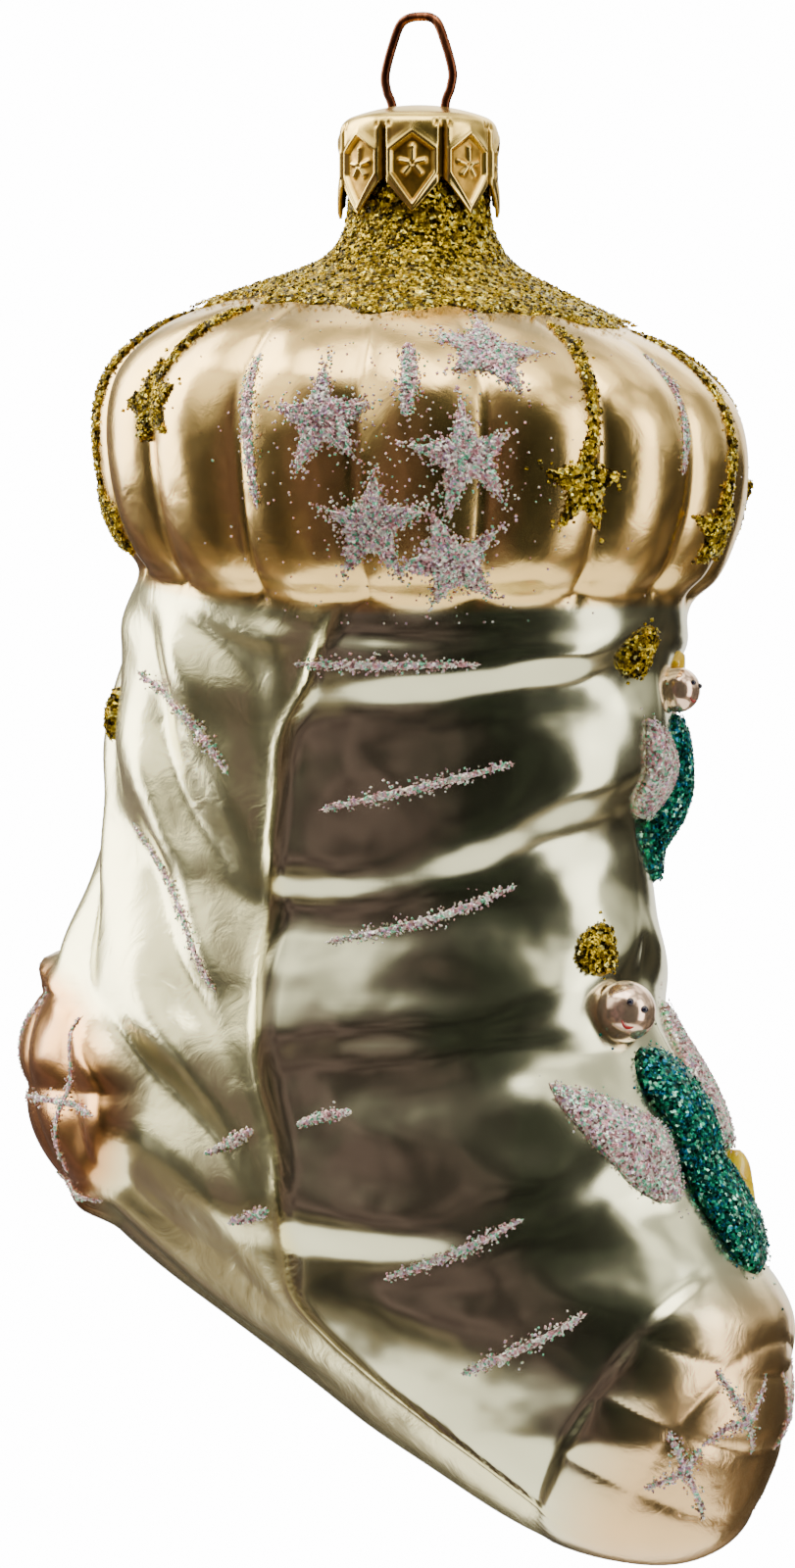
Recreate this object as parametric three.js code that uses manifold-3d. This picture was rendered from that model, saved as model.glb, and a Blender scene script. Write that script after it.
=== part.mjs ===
// Hanging Christmas stocking of blown glass, with a stamped metal cap and a spring wire hanger.
// Millimetres, +Z up. The origin is the top of the wire loop's inside, where a hook carries it.
// +X points to the stocking's toe and the two angels, and -Y is the side with the white stars.
// Places on the glass are given as an angle and a depth. The angle is 0 at the front (+X) and
// grows towards -Y. The depth is measured down from the two wire holes in the cap.

import * as THREE from "three";
import { mergeVertices } from "three/addons/utils/BufferGeometryUtils.js";
import Module from "manifold-3d";

const wasm = await Module();
wasm.setup();

// Wire hanger
const wireThick = 0.84;
const loopWide = 6.9;
const loopHigh = 7.9;
const holeApart = 5.4;
const legSpread = 8.0;
const legLong = 15;
const wireSides = 8;
const wireSteps = 52;

// Cap
const capWide = 14.3;
const capMetal = 0.28;
const capCrown = 0.35;
const capDome = 1.0;
const shoulderRound = 1.7;
const petals = 8;
const petalTurn = 65;
const petalCorner = 6.5;
const petalTip = 9.7;
const grooveDeep = 0.45;
const panelDeep = 0.3;
const panelTop = 2.7;
const panelRim = 0.5;
const holePlay = 0.26;
const petalColumns = 6;
const capRows = 11;

// Glass
const neckWide = 11.8;
const mouthDepth = 1.2;
const neckEnd = 9;
const wall = 1;
const toeDepth = 128.5;
const toeRound = 12.5;
const shoulderEnd = 20;
const cuffUnder = [38, 48];
const cuffTilt = 4;
const cuffSag = 2.2;
const lobes = 16;
const lobeTurn = 7.85;
const lobeDeep = 1.15;
const foldHigh = 1.25;
const foldPitch = 15.4;
const foldFirst = 51;
const foldRiseFront = 9;
const foldRiseBack = 15;
const seamWide = 1.1;
const heelDepth = 87.5;
const heelTall = 26;
const heelAngle = 68;
const heelProud = 0.9;
const quiltHigh = 0.9;
const quiltTall = 8.4;
const quiltAngle = 21;
const toeLine = 82.3;
const toeSlope = 33;
const toeProud = 0.5;
const columnsPerLobe = 3;
const ringPitch = 4.6;

// Coats of glue and glitter
const coat = 0.45;
const clear = 0.32;
const collarEnd = 18.4;
const collarColumns = 48;
const collarRows = 10;
const neckCoat = 0.35;
const goldStarWide = 8.6;
const whiteStarWide = 9.2;
const trailWide = 1.5;
const stripeWide = 1.9;
const dropTall = 5.2;
const dropWide = 3.6;
const dropHigh = 0.9;

// Angels
const lowerAngel = { angle: 3, depth: 91, turn: 20, size: 1, head: 2.7 };
const upperAngel = { angle: -17, depth: 60, turn: 8, size: 0.76, head: 2.0 };
const dressHigh = 1.7;
const wingHigh = 0.8;

const colours = {
  cap: { color: 0xdeb868, roughness: 0.28, metalness: 1 },
  wire: { color: 0x5a3220, roughness: 0.35, metalness: 1 },
  glass: { color: 0xd8d6c4, roughness: 0.1, metalness: 0.9 },
  gold: { color: 0xa5842a, roughness: 0.55, metalness: 0.8 },
  white: { color: 0xe6dfe0, roughness: 0.5, metalness: 0.3 },
  teal: { color: 0x127c76, roughness: 0.5, metalness: 0.5 },
};

const rad = THREE.MathUtils.degToRad;
const step = THREE.MathUtils.smoothstep;

// A smooth curve through a few chosen points, as a function of the first value of each.
function through(points) {
  const last = points.length - 1;
  const slopes = points.map((point, i) => {
    const before = points[Math.max(i - 1, 0)];
    const after = points[Math.min(i + 1, last)];
    return (after[1] - before[1]) / (after[0] - before[0]);
  });
  return (x) => {
    let i = 0;
    while (i < last - 1 && x > points[i + 1][0]) i += 1;
    const [x0, y0] = points[i];
    const [x1, y1] = points[i + 1];
    const long = x1 - x0;
    const t = (x - x0) / long;
    const rise = y0 * (2 * t ** 3 - 3 * t ** 2 + 1) + y1 * (3 * t ** 2 - 2 * t ** 3);
    return rise + long * (slopes[i] * (t ** 3 - 2 * t ** 2 + t) + slopes[i + 1] * (t ** 3 - t ** 2));
  };
}

// The stocking seen from the side: its back and its front, and half its thickness, at each depth.
// The last stations are the toe before its end is rounded off.
const neck = neckWide / 2;
const backLine = through([
  [0, -neck], [neckEnd, -neck], [12, -neck - 0.8], [14.3, -8.9], [16.5, -14], [18.6, -19.6], [20.4, -24],
  [22.8, -27.4], [25.4, -29.4], [29, -30.3], [33.3, -30.1], [37, -29.2], [40, -27.6], [42, -26.4],
  [44.5, -27.2], [56.7, -29.5], [69, -31.6], [77.7, -35.6], [86, -37.6], [95.2, -34.2], [100.1, -28.7],
  [107.9, -17.3], [116, -5], [121.2, 2.6], [127.5, 8.9], [toeDepth, 10],
]);
const frontLine = through([
  [0, neck], [neckEnd, neck], [12, neck + 0.8], [14.3, 8.9], [16.5, 14], [18.6, 19.6], [20.4, 24],
  [22.8, 27.4], [25.4, 29.4], [29, 30.3], [33.3, 30.1], [37, 29], [40, 27.4], [42, 25.4],
  [44.5, 24.8], [56.7, 23.6], [69, 21.7], [77.7, 23], [86, 26], [95.2, 29.7], [100.1, 31.7],
  [107.9, 35], [116, 34.5], [121.2, 34.2], [127.5, 37], [toeDepth, 38],
]);
const halfThick = through([
  [0, neck], [neckEnd, neck], [12, neck + 0.8], [14.3, 8.7], [16.5, 13], [18.6, 17.4], [20.4, 20.6],
  [22.8, 23.2], [25.4, 24.8], [29, 25.5], [33.3, 25.4], [37, 24.6], [40, 23.2], [42, 21],
  [44.5, 20.3], [56.7, 19.5], [69, 18.5], [77.7, 19.8], [86, 21.2], [95.2, 20.8], [100.1, 20],
  [107.9, 18], [116, 14.8], [121.2, 13], [toeDepth, 12.6],
]);

// How far the toe's end is rounded in, from 1 where it is full to 0 at its lowest point
function toeEnd(depth) {
  const share = THREE.MathUtils.clamp((depth - toeDepth + toeRound) / toeRound, 0, 1);
  return Math.sqrt(1 - share ** 2);
}

// The mould's parting line, a thin bead down each side and on along the sole
const seamAngle = through([
  [42, 80], [51, 84], [57, 89], [80, 86], [90, 86], [96, 90], [101, 98], [106, 108], [112, 108], [118, 101], [124, 94],
]);

// Puffs of the quilted heel and toe, 0 along their grooves and 1 on each crown
function puffs(along, up) {
  return Math.pow(Math.abs(Math.sin(Math.PI * along) * Math.sin(Math.PI * up)), 0.6);
}

// Height of the relief over the plain form: the cuff's lobes, the folds, the heel and the toe
function relief(angle, depth, centre) {
  const turn = THREE.MathUtils.euclideanModulo(angle + 180, 360) - 180;
  const fromBack = 180 - Math.abs(turn);
  const side = Math.abs(Math.sin(rad(angle)));
  const lobe = Math.pow(Math.abs(Math.sin(rad((angle - lobeTurn) * lobes / 2))), 0.75);
  const cuffShare = step(depth, 16, 24) * (1 - step(depth, 40.5, 43.5));
  const rise = fromBack > 90 ? foldRiseFront : foldRiseBack;
  const turns = (depth + rise * (1 - side) - foldFirst) / foldPitch;
  const foldShare = step(depth, 43, 48) * (1 - step(depth, 96, 116));
  const heelReach = Math.hypot(fromBack / heelAngle, (depth - heelDepth) / (heelTall / 2));
  const heelShare = 1 - step(heelReach, 0.92, 1.04);
  const alongFoot = centre * Math.cos(rad(toeSlope)) + depth * Math.sin(rad(toeSlope));
  const toeShare = step(alongFoot, toeLine - 0.6, toeLine + 0.6) * toeEnd(depth);
  const fold = foldHigh * Math.pow(0.5 + 0.5 * Math.cos(2 * Math.PI * turns), 1.5) - foldHigh * 0.4;
  const quilt = quiltHigh * puffs(fromBack / quiltAngle + 0.5, (depth - heelDepth) / quiltTall);
  return (
    -lobeDeep * (1 - lobe) * cuffShare +
    fold * foldShare * (1 - heelShare) * (1 - toeShare) +
    (heelProud + quilt) * heelShare +
    toeProud * toeShare
  );
}

// A point of the glass's outer face
function skin(angle, depth) {
  const c = Math.cos(rad(angle));
  const s = Math.sin(rad(angle));
  const middle = (frontLine(depth) + backLine(depth)) / 2;
  const end = toeEnd(depth);
  const long = end * (frontLine(depth) - backLine(depth)) / 2;
  const thick = end * halfThick(depth);
  const proud = relief(angle, depth, middle + long * c);
  const square = new THREE.Vector2(c / Math.max(long, 0.5), s / Math.max(thick, 0.5)).normalize();
  const x = middle + long * c + proud * square.x;
  const y = -thick * s - proud * square.y;
  const tilted = step(depth, neckEnd, 18) * (1 - step(depth, 42, 56));
  const sagged = step(depth, 33, 41) * (1 - step(depth, 43, 50));
  return new THREE.Vector3(x, y, -depth - Math.tan(rad(cuffTilt)) * x * tilted - cuffSag * s * s * sagged);
}

// The outward direction of the glass at a place on it
function outward(angle, depth) {
  const low = Math.min(depth, toeDepth - 0.3);
  const across = skin(angle + 0.5, low).sub(skin(angle - 0.5, low));
  const down = skin(angle, low + 0.15).sub(skin(angle, low - 0.15));
  return across.cross(down).normalize();
}

function onGlass(angle, depth, lift) {
  return skin(angle, depth).addScaledVector(outward(angle, depth), lift);
}

// A closed solid from two faces of one grid, an outer one and an inner one. place(i, j, out) gives a
// point. Columns may run all the way round, and a row whose points are all one point closes to a pole.
function grid(columns, rows, place, round) {
  const points = [];
  const faces = [];
  const across = round ? columns : columns + 1;
  for (const out of [true, false]) {
    for (let j = 0; j <= rows; j += 1) {
      for (let i = 0; i < across; i += 1) points.push(...place(i, j, out).toArray());
    }
  }
  const half = across * (rows + 1);
  const at = (i, j, out) => (out ? 0 : half) + j * across + (i % across);
  const quad = (a, b, c, d) => faces.push(a, b, c, a, c, d);
  for (let j = 0; j < rows; j += 1) {
    for (let i = 0; i < columns; i += 1) {
      quad(at(i, j, true), at(i, j + 1, true), at(i + 1, j + 1, true), at(i + 1, j, true));
      quad(at(i, j, false), at(i + 1, j, false), at(i + 1, j + 1, false), at(i, j + 1, false));
    }
  }
  for (let i = 0; i < columns; i += 1) {
    quad(at(i, 0, true), at(i + 1, 0, true), at(i + 1, 0, false), at(i, 0, false));
    quad(at(i, rows, false), at(i + 1, rows, false), at(i + 1, rows, true), at(i, rows, true));
  }
  for (let j = 0; j < rows && !round; j += 1) {
    quad(at(0, j, false), at(0, j + 1, false), at(0, j + 1, true), at(0, j, true));
    quad(at(columns, j, true), at(columns, j + 1, true), at(columns, j + 1, false), at(columns, j, false));
  }
  return closed(points, faces);
}

// Shared points are merged, faces that closed to a line are dropped, and all faces point outwards
function closed(points, faces) {
  const raw = new THREE.BufferGeometry();
  raw.setAttribute("position", new THREE.Float32BufferAttribute(points, 3));
  raw.setIndex(faces);
  return solid(raw);
}

function solid(geometry) {
  const bare = geometry.clone();
  bare.deleteAttribute("normal");
  bare.deleteAttribute("uv");
  const merged = mergeVertices(bare, 1e-3);
  const index = merged.index.array;
  const vertProperties = new Float32Array(merged.attributes.position.array);
  const corner = (n) => new THREE.Vector3().fromArray(vertProperties, 3 * n);
  const kept = [];
  let volume = 0;
  for (let k = 0; k < index.length; k += 3) {
    const [a, b, c] = [index[k], index[k + 1], index[k + 2]];
    if (a === b || b === c || c === a) continue;
    kept.push([a, b, c]);
    volume += corner(a).dot(corner(b).cross(corner(c)));
  }
  const triVerts = new Uint32Array(kept.flatMap(([a, b, c]) => (volume > 0 ? [a, b, c] : [a, c, b])));
  return new wasm.Manifold(new wasm.Mesh({ numProp: 3, vertProperties, triVerts }));
}

// The main body of a cut, without the slivers that a cut can leave beside it
function largest(body) {
  return body.decompose().sort((a, b) => b.volume() - a.volume())[0];
}

function geometryOf(body) {
  const { vertProperties, triVerts } = body.getMesh();
  const geometry = new THREE.BufferGeometry();
  geometry.setAttribute("position", new THREE.BufferAttribute(new Float32Array(vertProperties), 3));
  geometry.setIndex(new THREE.BufferAttribute(new Uint32Array(triVerts), 1));
  return geometry;
}

// Depths of the rings of a loft, evenly spaced along the side that is longer, and closer together
// where the shoulder flares and where the cuff rolls under
function ringDepths(start, end, pitch) {
  const depths = [start];
  const fine = 0.05;
  let walked = 0;
  for (let depth = start; depth < end; depth += fine) {
    const next = Math.min(depth + fine, end - 1e-4);
    const frontMove = reach(next, frontLine) - reach(depth, frontLine);
    const backMove = reach(next, backLine) - reach(depth, backLine);
    walked += Math.hypot(fine, Math.max(Math.abs(frontMove), Math.abs(backMove)));
    const tight = depth < shoulderEnd || (depth > cuffUnder[0] && depth < cuffUnder[1]);
    if (walked >= pitch * (tight ? 0.4 : 1)) {
      depths.push(next);
      walked = 0;
    }
  }
  return depths;
}

function reach(depth, line) {
  const middle = (frontLine(depth) + backLine(depth)) / 2;
  return middle + (line(depth) - middle) * toeEnd(depth);
}

// A solid filled with rings of points, closed at its top by a flat lid and at its foot by a pole
function loft(columns, start, depths, pointAt, top, foot) {
  const points = [];
  const faces = [];
  depths.forEach((depth) => {
    for (let i = 0; i < columns; i += 1) points.push(...pointAt(start + i * 360 / columns, depth).toArray());
  });
  points.push(...top.toArray(), ...foot.toArray());
  const lid = columns * depths.length;
  for (let i = 0; i < columns; i += 1) {
    const next = (i + 1) % columns;
    faces.push(lid, i, next);
    for (let j = 0; j + 1 < depths.length; j += 1) {
      const a = j * columns;
      const b = a + columns;
      faces.push(a + i, b + i, b + next, a + i, b + next, a + next);
    }
    const base = lid - columns;
    faces.push(base + i, lid + 1, base + next);
  }
  return closed(points, faces);
}

// A raised patch on the glass. The outline is a list of [right, up] points in millimetres round the
// patch's middle, seen from outside. under and over give the heights of its two faces at a share of
// the way from the middle, 0, to the outline, 1.
function patch(place, outline, rings, under, over) {
  const { angle, depth, turn = 0, size = 1 } = place;
  const perDegree = skin(angle + 1, depth).distanceTo(skin(angle - 1, depth)) / 2;
  const perDepth = skin(angle, depth + 1).distanceTo(skin(angle, depth - 1)) / 2;
  const c = Math.cos(rad(turn)) * size;
  const s = Math.sin(rad(turn)) * size;
  const middle = outline.reduce((sum, point) => [sum[0] + point[0], sum[1] + point[1]], [0, 0]);
  const heart = [middle[0] / outline.length, middle[1] / outline.length];
  const point = (i, j, out) => {
    const share = j / rings;
    const [right, up] = outline[i % outline.length];
    const x = heart[0] + (right - heart[0]) * share;
    const y = heart[1] + (up - heart[1]) * share;
    const lift = out ? over(share) : under(share);
    return onGlass(angle - (x * c - y * s) / perDegree, depth - (x * s + y * c) / perDepth, lift);
  };
  return grid(outline.length, rings, point, true);
}

// A flat ribbon that lies on the glass along a line of [angle, depth] places
function ribbon(line, wide, steps, under, over) {
  const angleAt = through(line.map(([angle], i) => [i, angle]));
  const depthAt = through(line.map(([, depth], i) => [i, depth]));
  const last = line.length - 1;
  const point = (i, j, out) => {
    const t = (i / steps) * last;
    const middle = onGlass(angleAt(t), depthAt(t), out ? over : under);
    const up = outward(angleAt(t), depthAt(t));
    const ahead = skin(angleAt(t + 0.01), depthAt(t + 0.01)).sub(skin(angleAt(t - 0.01), depthAt(t - 0.01)));
    const taper = Math.sqrt(Math.sin(Math.PI * (0.06 + 0.88 * i / steps)));
    return middle.addScaledVector(ahead.cross(up).normalize(), (j - 0.5) * wide * taper);
  };
  return grid(steps, 1, point, false);
}

function star(wide) {
  const outline = [];
  for (let i = 0; i < 10; i += 1) {
    const far = (i % 2 ? 0.46 : 1) * wide / 2;
    outline.push([-Math.sin(i * Math.PI / 5) * far, Math.cos(i * Math.PI / 5) * far]);
  }
  return outline;
}

function drop(wide, tall) {
  const outline = [];
  for (let i = 0; i < 12; i += 1) {
    const a = i * Math.PI / 6;
    const narrow = 1 - 0.35 * Math.cos(a);
    outline.push([-Math.sin(a) * narrow * wide / 2, Math.cos(a) * tall / 2]);
  }
  return outline;
}

const dressOutline = [
  [0, 8.6], [-1.7, 7.9], [-2.9, 5.6], [-2.6, 2], [-3.2, -2], [-4.2, -6], [-4.6, -9.5], [-3, -11.6],
  [0, -12.2], [3, -11.6], [4.6, -9.5], [4.2, -6], [3.2, -2], [2.6, 2], [2.9, 5.6], [1.7, 7.9],
];
const wingOutline = [
  [-3.5, 2.6], [-5, 4.8], [-7.6, 7.4], [-10, 9.2], [-10.5, 7.2], [-10.3, 3.4], [-9.6, -0.4], [-7.9, -3], [-5.4, -3.8], [-4, -2.2],
];
const lanternOutline = [[6.6, -3.6], [5.4, -5.4], [5.2, -8], [5.8, -10.8], [7, -12], [8.2, -9.6], [8.4, -6.4], [7.6, -4.2]];
const haloOutline = [[2.2, 17], [0.6, 15.4], [1.2, 12.4], [2.6, 9.6], [4.4, 9], [5.4, 11.6], [5.2, 14.6], [4, 16.6]];
const headUp = 11.4;

const mirrored = (outline) => outline.map(([right, up]) => [-right, up]).reverse();
const dome = (high) => (share) => high * Math.sqrt(Math.max(1 - share ** 2, 0));
const sunk = () => -wall * 0.45;
const lifted = (height, extra) => (share) => height(share) + extra;

// The parts of an angel that stand up from the glass
function angelRelief(angel, extra, extraHigh) {
  const bodies = [
    patch(angel, dressOutline, 4, sunk, dome(dressHigh * angel.size)),
    patch(angel, wingOutline, 2, sunk, dome(wingHigh)),
    patch(angel, mirrored(wingOutline), 2, sunk, dome(wingHigh)),
    patch(angel, extra, 2, sunk, dome(extraHigh)),
  ];
  const perDegree = skin(angel.angle + 1, angel.depth).distanceTo(skin(angel.angle - 1, angel.depth)) / 2;
  const right = -Math.sin(rad(angel.turn)) * headUp * angel.size;
  const up = Math.cos(rad(angel.turn)) * headUp * angel.size;
  const ball = new THREE.SphereGeometry(angel.head, 12, 8);
  const at = onGlass(angel.angle - right / perDegree, angel.depth - up, angel.head * 0.35);
  ball.translate(at.x, at.y, at.z);
  return bodies.concat(solid(ball));
}

// A bead along the parting line: a rod with four sides, half of it in the glass
function seamBead(side) {
  const [start, end] = [44, 123];
  const points = [];
  for (let i = 0; i <= 26; i += 1) {
    const depth = start + (end - start) * i / 26;
    points.push(onGlass(side * seamAngle(depth), depth, 0));
  }
  const path = new THREE.CatmullRomCurve3(points);
  const section = new THREE.Shape();
  const half = seamWide / 2;
  section.moveTo(half, 0);
  section.lineTo(0, half);
  section.lineTo(-half, 0);
  section.lineTo(0, -half);
  section.closePath();
  return solid(new THREE.ExtrudeGeometry(section, { steps: 28, extrudePath: path, bevelEnabled: false }));
}

function glassStocking() {
  const outer = loft(
    lobes * columnsPerLobe, lobeTurn, ringDepths(mouthDepth, toeDepth, ringPitch), skin,
    new THREE.Vector3(0, 0, -mouthDepth), skin(0, toeDepth),
  );
  const inside = (angle, depth) => onGlass(angle, depth, -wall);
  const hollow = loft(
    lobes, lobeTurn + 180 / lobes, ringDepths(mouthDepth - 1, toeDepth - 2 * wall, ringPitch), inside,
    new THREE.Vector3(0, 0, 1 - mouthDepth), skin(0, toeDepth).add(new THREE.Vector3(0, 0, 1.5 * wall)),
  );
  const raised = [
    ...angelRelief(lowerAngel, lanternOutline, 1.2), ...angelRelief(upperAngel, haloOutline, 1),
    seamBead(1), seamBead(-1),
  ];
  return largest(raised.reduce((body, bump) => body.add(bump), outer.subtract(hollow)));
}

// The collar of glitter that runs from under the cap down over the shoulder
function neckCollar() {
  const start = petalCorner + clear;
  const point = (i, j, out) => {
    const angle = i * 360 / collarColumns;
    const depth = start + (collarEnd - start) * j / collarRows;
    const thick = neckCoat + (coat + 0.2 - neckCoat) * step(depth, neckEnd, 12);
    return onGlass(angle, depth, clear + (out ? thick : 0));
  };
  return grid(collarColumns, collarRows, point, true);
}

// The stamped cap: a domed top, a rounded shoulder and a skirt of pointed petals
function crownCap() {
  const wide = capWide / 2;
  const columns = petals * petalColumns;
  const profile = [[0, -capCrown], [0.45, -capCrown + capDome * 0.2], [0.78, -capCrown + capDome * 0.7]];
  const point = (i, j, out) => {
    const angle = petalTurn + (i - petalColumns / 2) * 360 / columns;
    const across = Math.abs((i % petalColumns) / petalColumns * 2 - 1);
    const fromMiddle = i % petalColumns === 0 ? 1 : across;
    const inward = out ? 0 : capMetal;
    let radius = 0;
    let depth = 0;
    if (j < profile.length) {
      [radius, depth] = [profile[j][0] * wide, profile[j][1] + inward];
    } else if (j < profile.length + 2) {
      const a = rad(45 * (j - profile.length + 1) / 1.5 + 12);
      radius = wide - shoulderRound + (shoulderRound - inward) * Math.sin(a);
      depth = -capCrown + capDome + shoulderRound - (shoulderRound - inward) * Math.cos(a);
    } else {
      const top = -capCrown + capDome + shoulderRound;
      const share = (j - profile.length - 2) / (capRows - profile.length - 2);
      const bottom = petalCorner + (petalTip - petalCorner) * (1 - fromMiddle);
      depth = top + (bottom - top) * share;
      const inPanel = fromMiddle < 0.5 && depth > panelTop && depth < bottom - panelRim;
      const dent = (fromMiddle > 0.9 ? grooveDeep : 0) + (inPanel ? panelDeep : 0);
      radius = wide - inward - dent;
    }
    return new THREE.Vector3(radius * Math.cos(rad(angle)), -radius * Math.sin(rad(angle)), -depth);
  };
  let cap = grid(columns, capRows, point, true);
  for (const side of [-1, 1]) {
    const drill = new THREE.CylinderGeometry(wireThick / 2 + holePlay, wireThick / 2 + holePlay, 4, 12);
    drill.rotateX(Math.PI / 2);
    drill.translate(side * holeApart / 2, 0, 0);
    cap = cap.subtract(solid(drill));
  }
  return cap;
}

// One bent wire: up one leg, round the loop and down the other leg
function springHanger() {
  const half = wireThick / 2;
  const top = loopHigh + half;
  const side = [
    [legSpread / 2, -legLong], [legSpread / 2 - 0.1, -legLong * 0.6], [legSpread / 2 - 0.7, -legLong * 0.25],
    [holeApart / 2, 0], [loopWide / 2 - 0.15, loopHigh * 0.24], [loopWide / 2, loopHigh * 0.42],
    [loopWide / 2 - 0.75, loopHigh * 0.74], [loopWide / 4, top - 0.45],
  ];
  const left = side.map(([x, z]) => new THREE.Vector3(-x, 0, z));
  const right = side.map(([x, z]) => new THREE.Vector3(x, 0, z)).reverse();
  const path = new THREE.CatmullRomCurve3([...left, new THREE.Vector3(0, 0, top), ...right]);
  const section = new THREE.Shape();
  for (let i = 0; i < wireSides; i += 1) {
    const a = i * 2 * Math.PI / wireSides;
    if (i === 0) section.moveTo(half, 0);
    else section.lineTo(Math.cos(a) * half, Math.sin(a) * half);
  }
  section.closePath();
  return solid(new THREE.ExtrudeGeometry(section, { steps: wireSteps, extrudePath: path, bevelEnabled: false }));
}

const ornament = new THREE.Group();
ornament.position.z = -loopHigh;

function add(name, body, look) {
  const mesh = new THREE.Mesh(geometryOf(body), new THREE.MeshStandardMaterial(colours[look]));
  mesh.name = name;
  ornament.add(mesh);
}

const flat = (height) => () => height;
const starCoat = (place, wide) => patch(place, star(wide), 2, flat(clear), flat(clear + coat));
const stripeCoat = (line, wide, steps) => ribbon(line, wide, steps, clear, clear + coat);

add("glass_stocking", glassStocking(), "glass");
add("crown_cap", crownCap(), "cap");
add("spring_hanger", springHanger(), "wire");
add("neck_glitter_collar", neckCollar(), "gold");

// Gold stars, each at the end of a trail that runs down from the collar
const goldStars = [
  [34, 33, 28], [-4, 36, -9], [120, 28, 111], [150, 38, 146], [212, 31, 206], [240, 37, 234], [326, 33, 332],
];
goldStars.forEach(([angle, depth, from], i) => {
  const line = [[from, collarEnd + 1], [(from + angle) / 2, (collarEnd + depth) / 2 - 2], [angle, depth - 1]];
  const body = starCoat({ angle, depth, turn: 6 * (i % 3) }, goldStarWide).add(stripeCoat(line, trailWide, 6));
  add(`gold_star_${i + 1}`, body, "gold");
});

// White stars in a group on each side of the cuff, with stripes beside and between them
const whiteStars = [[81, 28.5, 8], [51, 22, -10], [56, 31, 12], [73, 36.5, 0], [58, 39, 18]];
const cuffStripes = [
  [[96, 23], [96, 28.5], [94, 36]], [[66, 21.5], [66, 24.5], [66.5, 28]], [[8, 21], [8, 25], [12, 31.5]],
];
const legStripes = [
  [[88, 49.8], [70, 49.8], [50, 49.4]], [[80, 62.5], [60, 60.5], [41, 58.4]], [[76, 74], [56, 72], [37, 69]],
  [[101, 92.5], [94, 91.2], [90, 90.3]], [[82, 89.7], [77, 89], [72, 88.5]], [[104, 98.5], [98, 97.8], [94, 97.2]],
  [[84, 103], [66, 100.5], [50, 97.5]], [[84, 111], [66, 108.5], [49, 105.5]],
  [[136, 50.5], [114, 54], [100, 59.5]], [[132, 63.5], [110, 70.5], [95, 78.5]],
];
for (const side of [1, -1]) {
  const name = side > 0 ? "near" : "far";
  const across = ([angle, depth]) => [side * angle, depth];
  whiteStars.slice(0, side > 0 ? 5 : 4).forEach(([angle, depth, turn], i) => {
    add(`white_star_${name}_${i + 1}`, starCoat({ angle: side * angle, depth, turn: side * turn }, whiteStarWide), "white");
  });
  cuffStripes.slice(0, side > 0 ? 3 : 2).forEach((line, i) => {
    add(`cuff_stripe_${name}_${i + 1}`, stripeCoat(line.map(across), stripeWide, 5), "white");
  });
  legStripes.forEach((line, i) => {
    add(`leg_stripe_${name}_${i + 1}`, stripeCoat(line.map(across), stripeWide * 0.7, 5), "white");
  });
}

// Gold drops: one above each angel and two on the heel's side of the leg
const drops = [
  [upperAngel.angle + 26, upperAngel.depth - 12.5, -20], [lowerAngel.angle + 15, lowerAngel.depth - 16.5, -25],
  [150, 54, 10], [210, 54, -10],
];
drops.forEach(([angle, depth, turn], i) => {
  const over = lifted(dome(dropHigh), clear + 0.25);
  add(`gold_drop_${i + 1}`, patch({ angle, depth, turn }, drop(dropWide, dropTall), 2, flat(clear), over), "gold");
});

[[lowerAngel, "lower"], [upperAngel, "upper"]].forEach(([angel, name]) => {
  const skirt = dome(dressHigh * angel.size);
  const feathers = dome(wingHigh);
  const cover = (outline, rings, height) => patch(
    angel, outline, rings, lifted(height, clear), lifted(height, clear + coat),
  );
  add(`${name}_angel_dress`, cover(dressOutline, 4, skirt), "teal");
  add(`${name}_angel_near_wing`, cover(wingOutline, 2, feathers), "white");
  add(`${name}_angel_far_wing`, cover(mirrored(wingOutline), 2, feathers), "white");
});

export default ornament;
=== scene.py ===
import math

import bmesh
import bpy
import numpy as np
from mathutils import Matrix, Vector


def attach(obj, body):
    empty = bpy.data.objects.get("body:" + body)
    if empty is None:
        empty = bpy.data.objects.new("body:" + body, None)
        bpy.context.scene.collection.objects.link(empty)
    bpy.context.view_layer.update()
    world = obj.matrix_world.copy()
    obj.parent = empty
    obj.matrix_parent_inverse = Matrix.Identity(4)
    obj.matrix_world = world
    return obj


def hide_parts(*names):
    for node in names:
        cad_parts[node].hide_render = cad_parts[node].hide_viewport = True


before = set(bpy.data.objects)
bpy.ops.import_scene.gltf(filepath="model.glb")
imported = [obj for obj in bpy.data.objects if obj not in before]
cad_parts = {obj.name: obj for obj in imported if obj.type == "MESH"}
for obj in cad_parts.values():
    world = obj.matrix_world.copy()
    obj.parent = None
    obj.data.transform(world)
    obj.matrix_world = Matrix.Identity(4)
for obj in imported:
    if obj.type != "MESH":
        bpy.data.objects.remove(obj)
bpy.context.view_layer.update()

# Camera: level with the middle of the stocking and turned 30 degrees to its toe side.
# It stands 60 cm away, so the cap is seen slightly from below.
MM = 0.001
AZIMUTH = math.radians(30)
STAND_OFF = 600
PHOTO_TALL = 140.0
AIM = (-1.9, -68.1)

toward = Vector((math.sin(AZIMUTH), -math.cos(AZIMUTH), 0))
rightward = Vector((math.cos(AZIMUTH), math.sin(AZIMUTH), 0))
target = (rightward * AIM[0] + Vector((0, 0, AIM[1]))) * MM
camera_data = bpy.data.cameras.new("camera")
camera_data.sensor_fit = "VERTICAL"
camera_data.sensor_height = 24
camera_data.lens = camera_data.sensor_height * STAND_OFF / PHOTO_TALL
camera_data.clip_start = 0.01
camera = bpy.data.objects.new("camera", camera_data)
camera.location = target + toward * STAND_OFF * MM
camera.rotation_euler = (target - camera.location).to_track_quat("-Z", "Y").to_euler()
bpy.context.scene.collection.objects.link(camera)
bpy.context.scene.camera = camera


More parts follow.
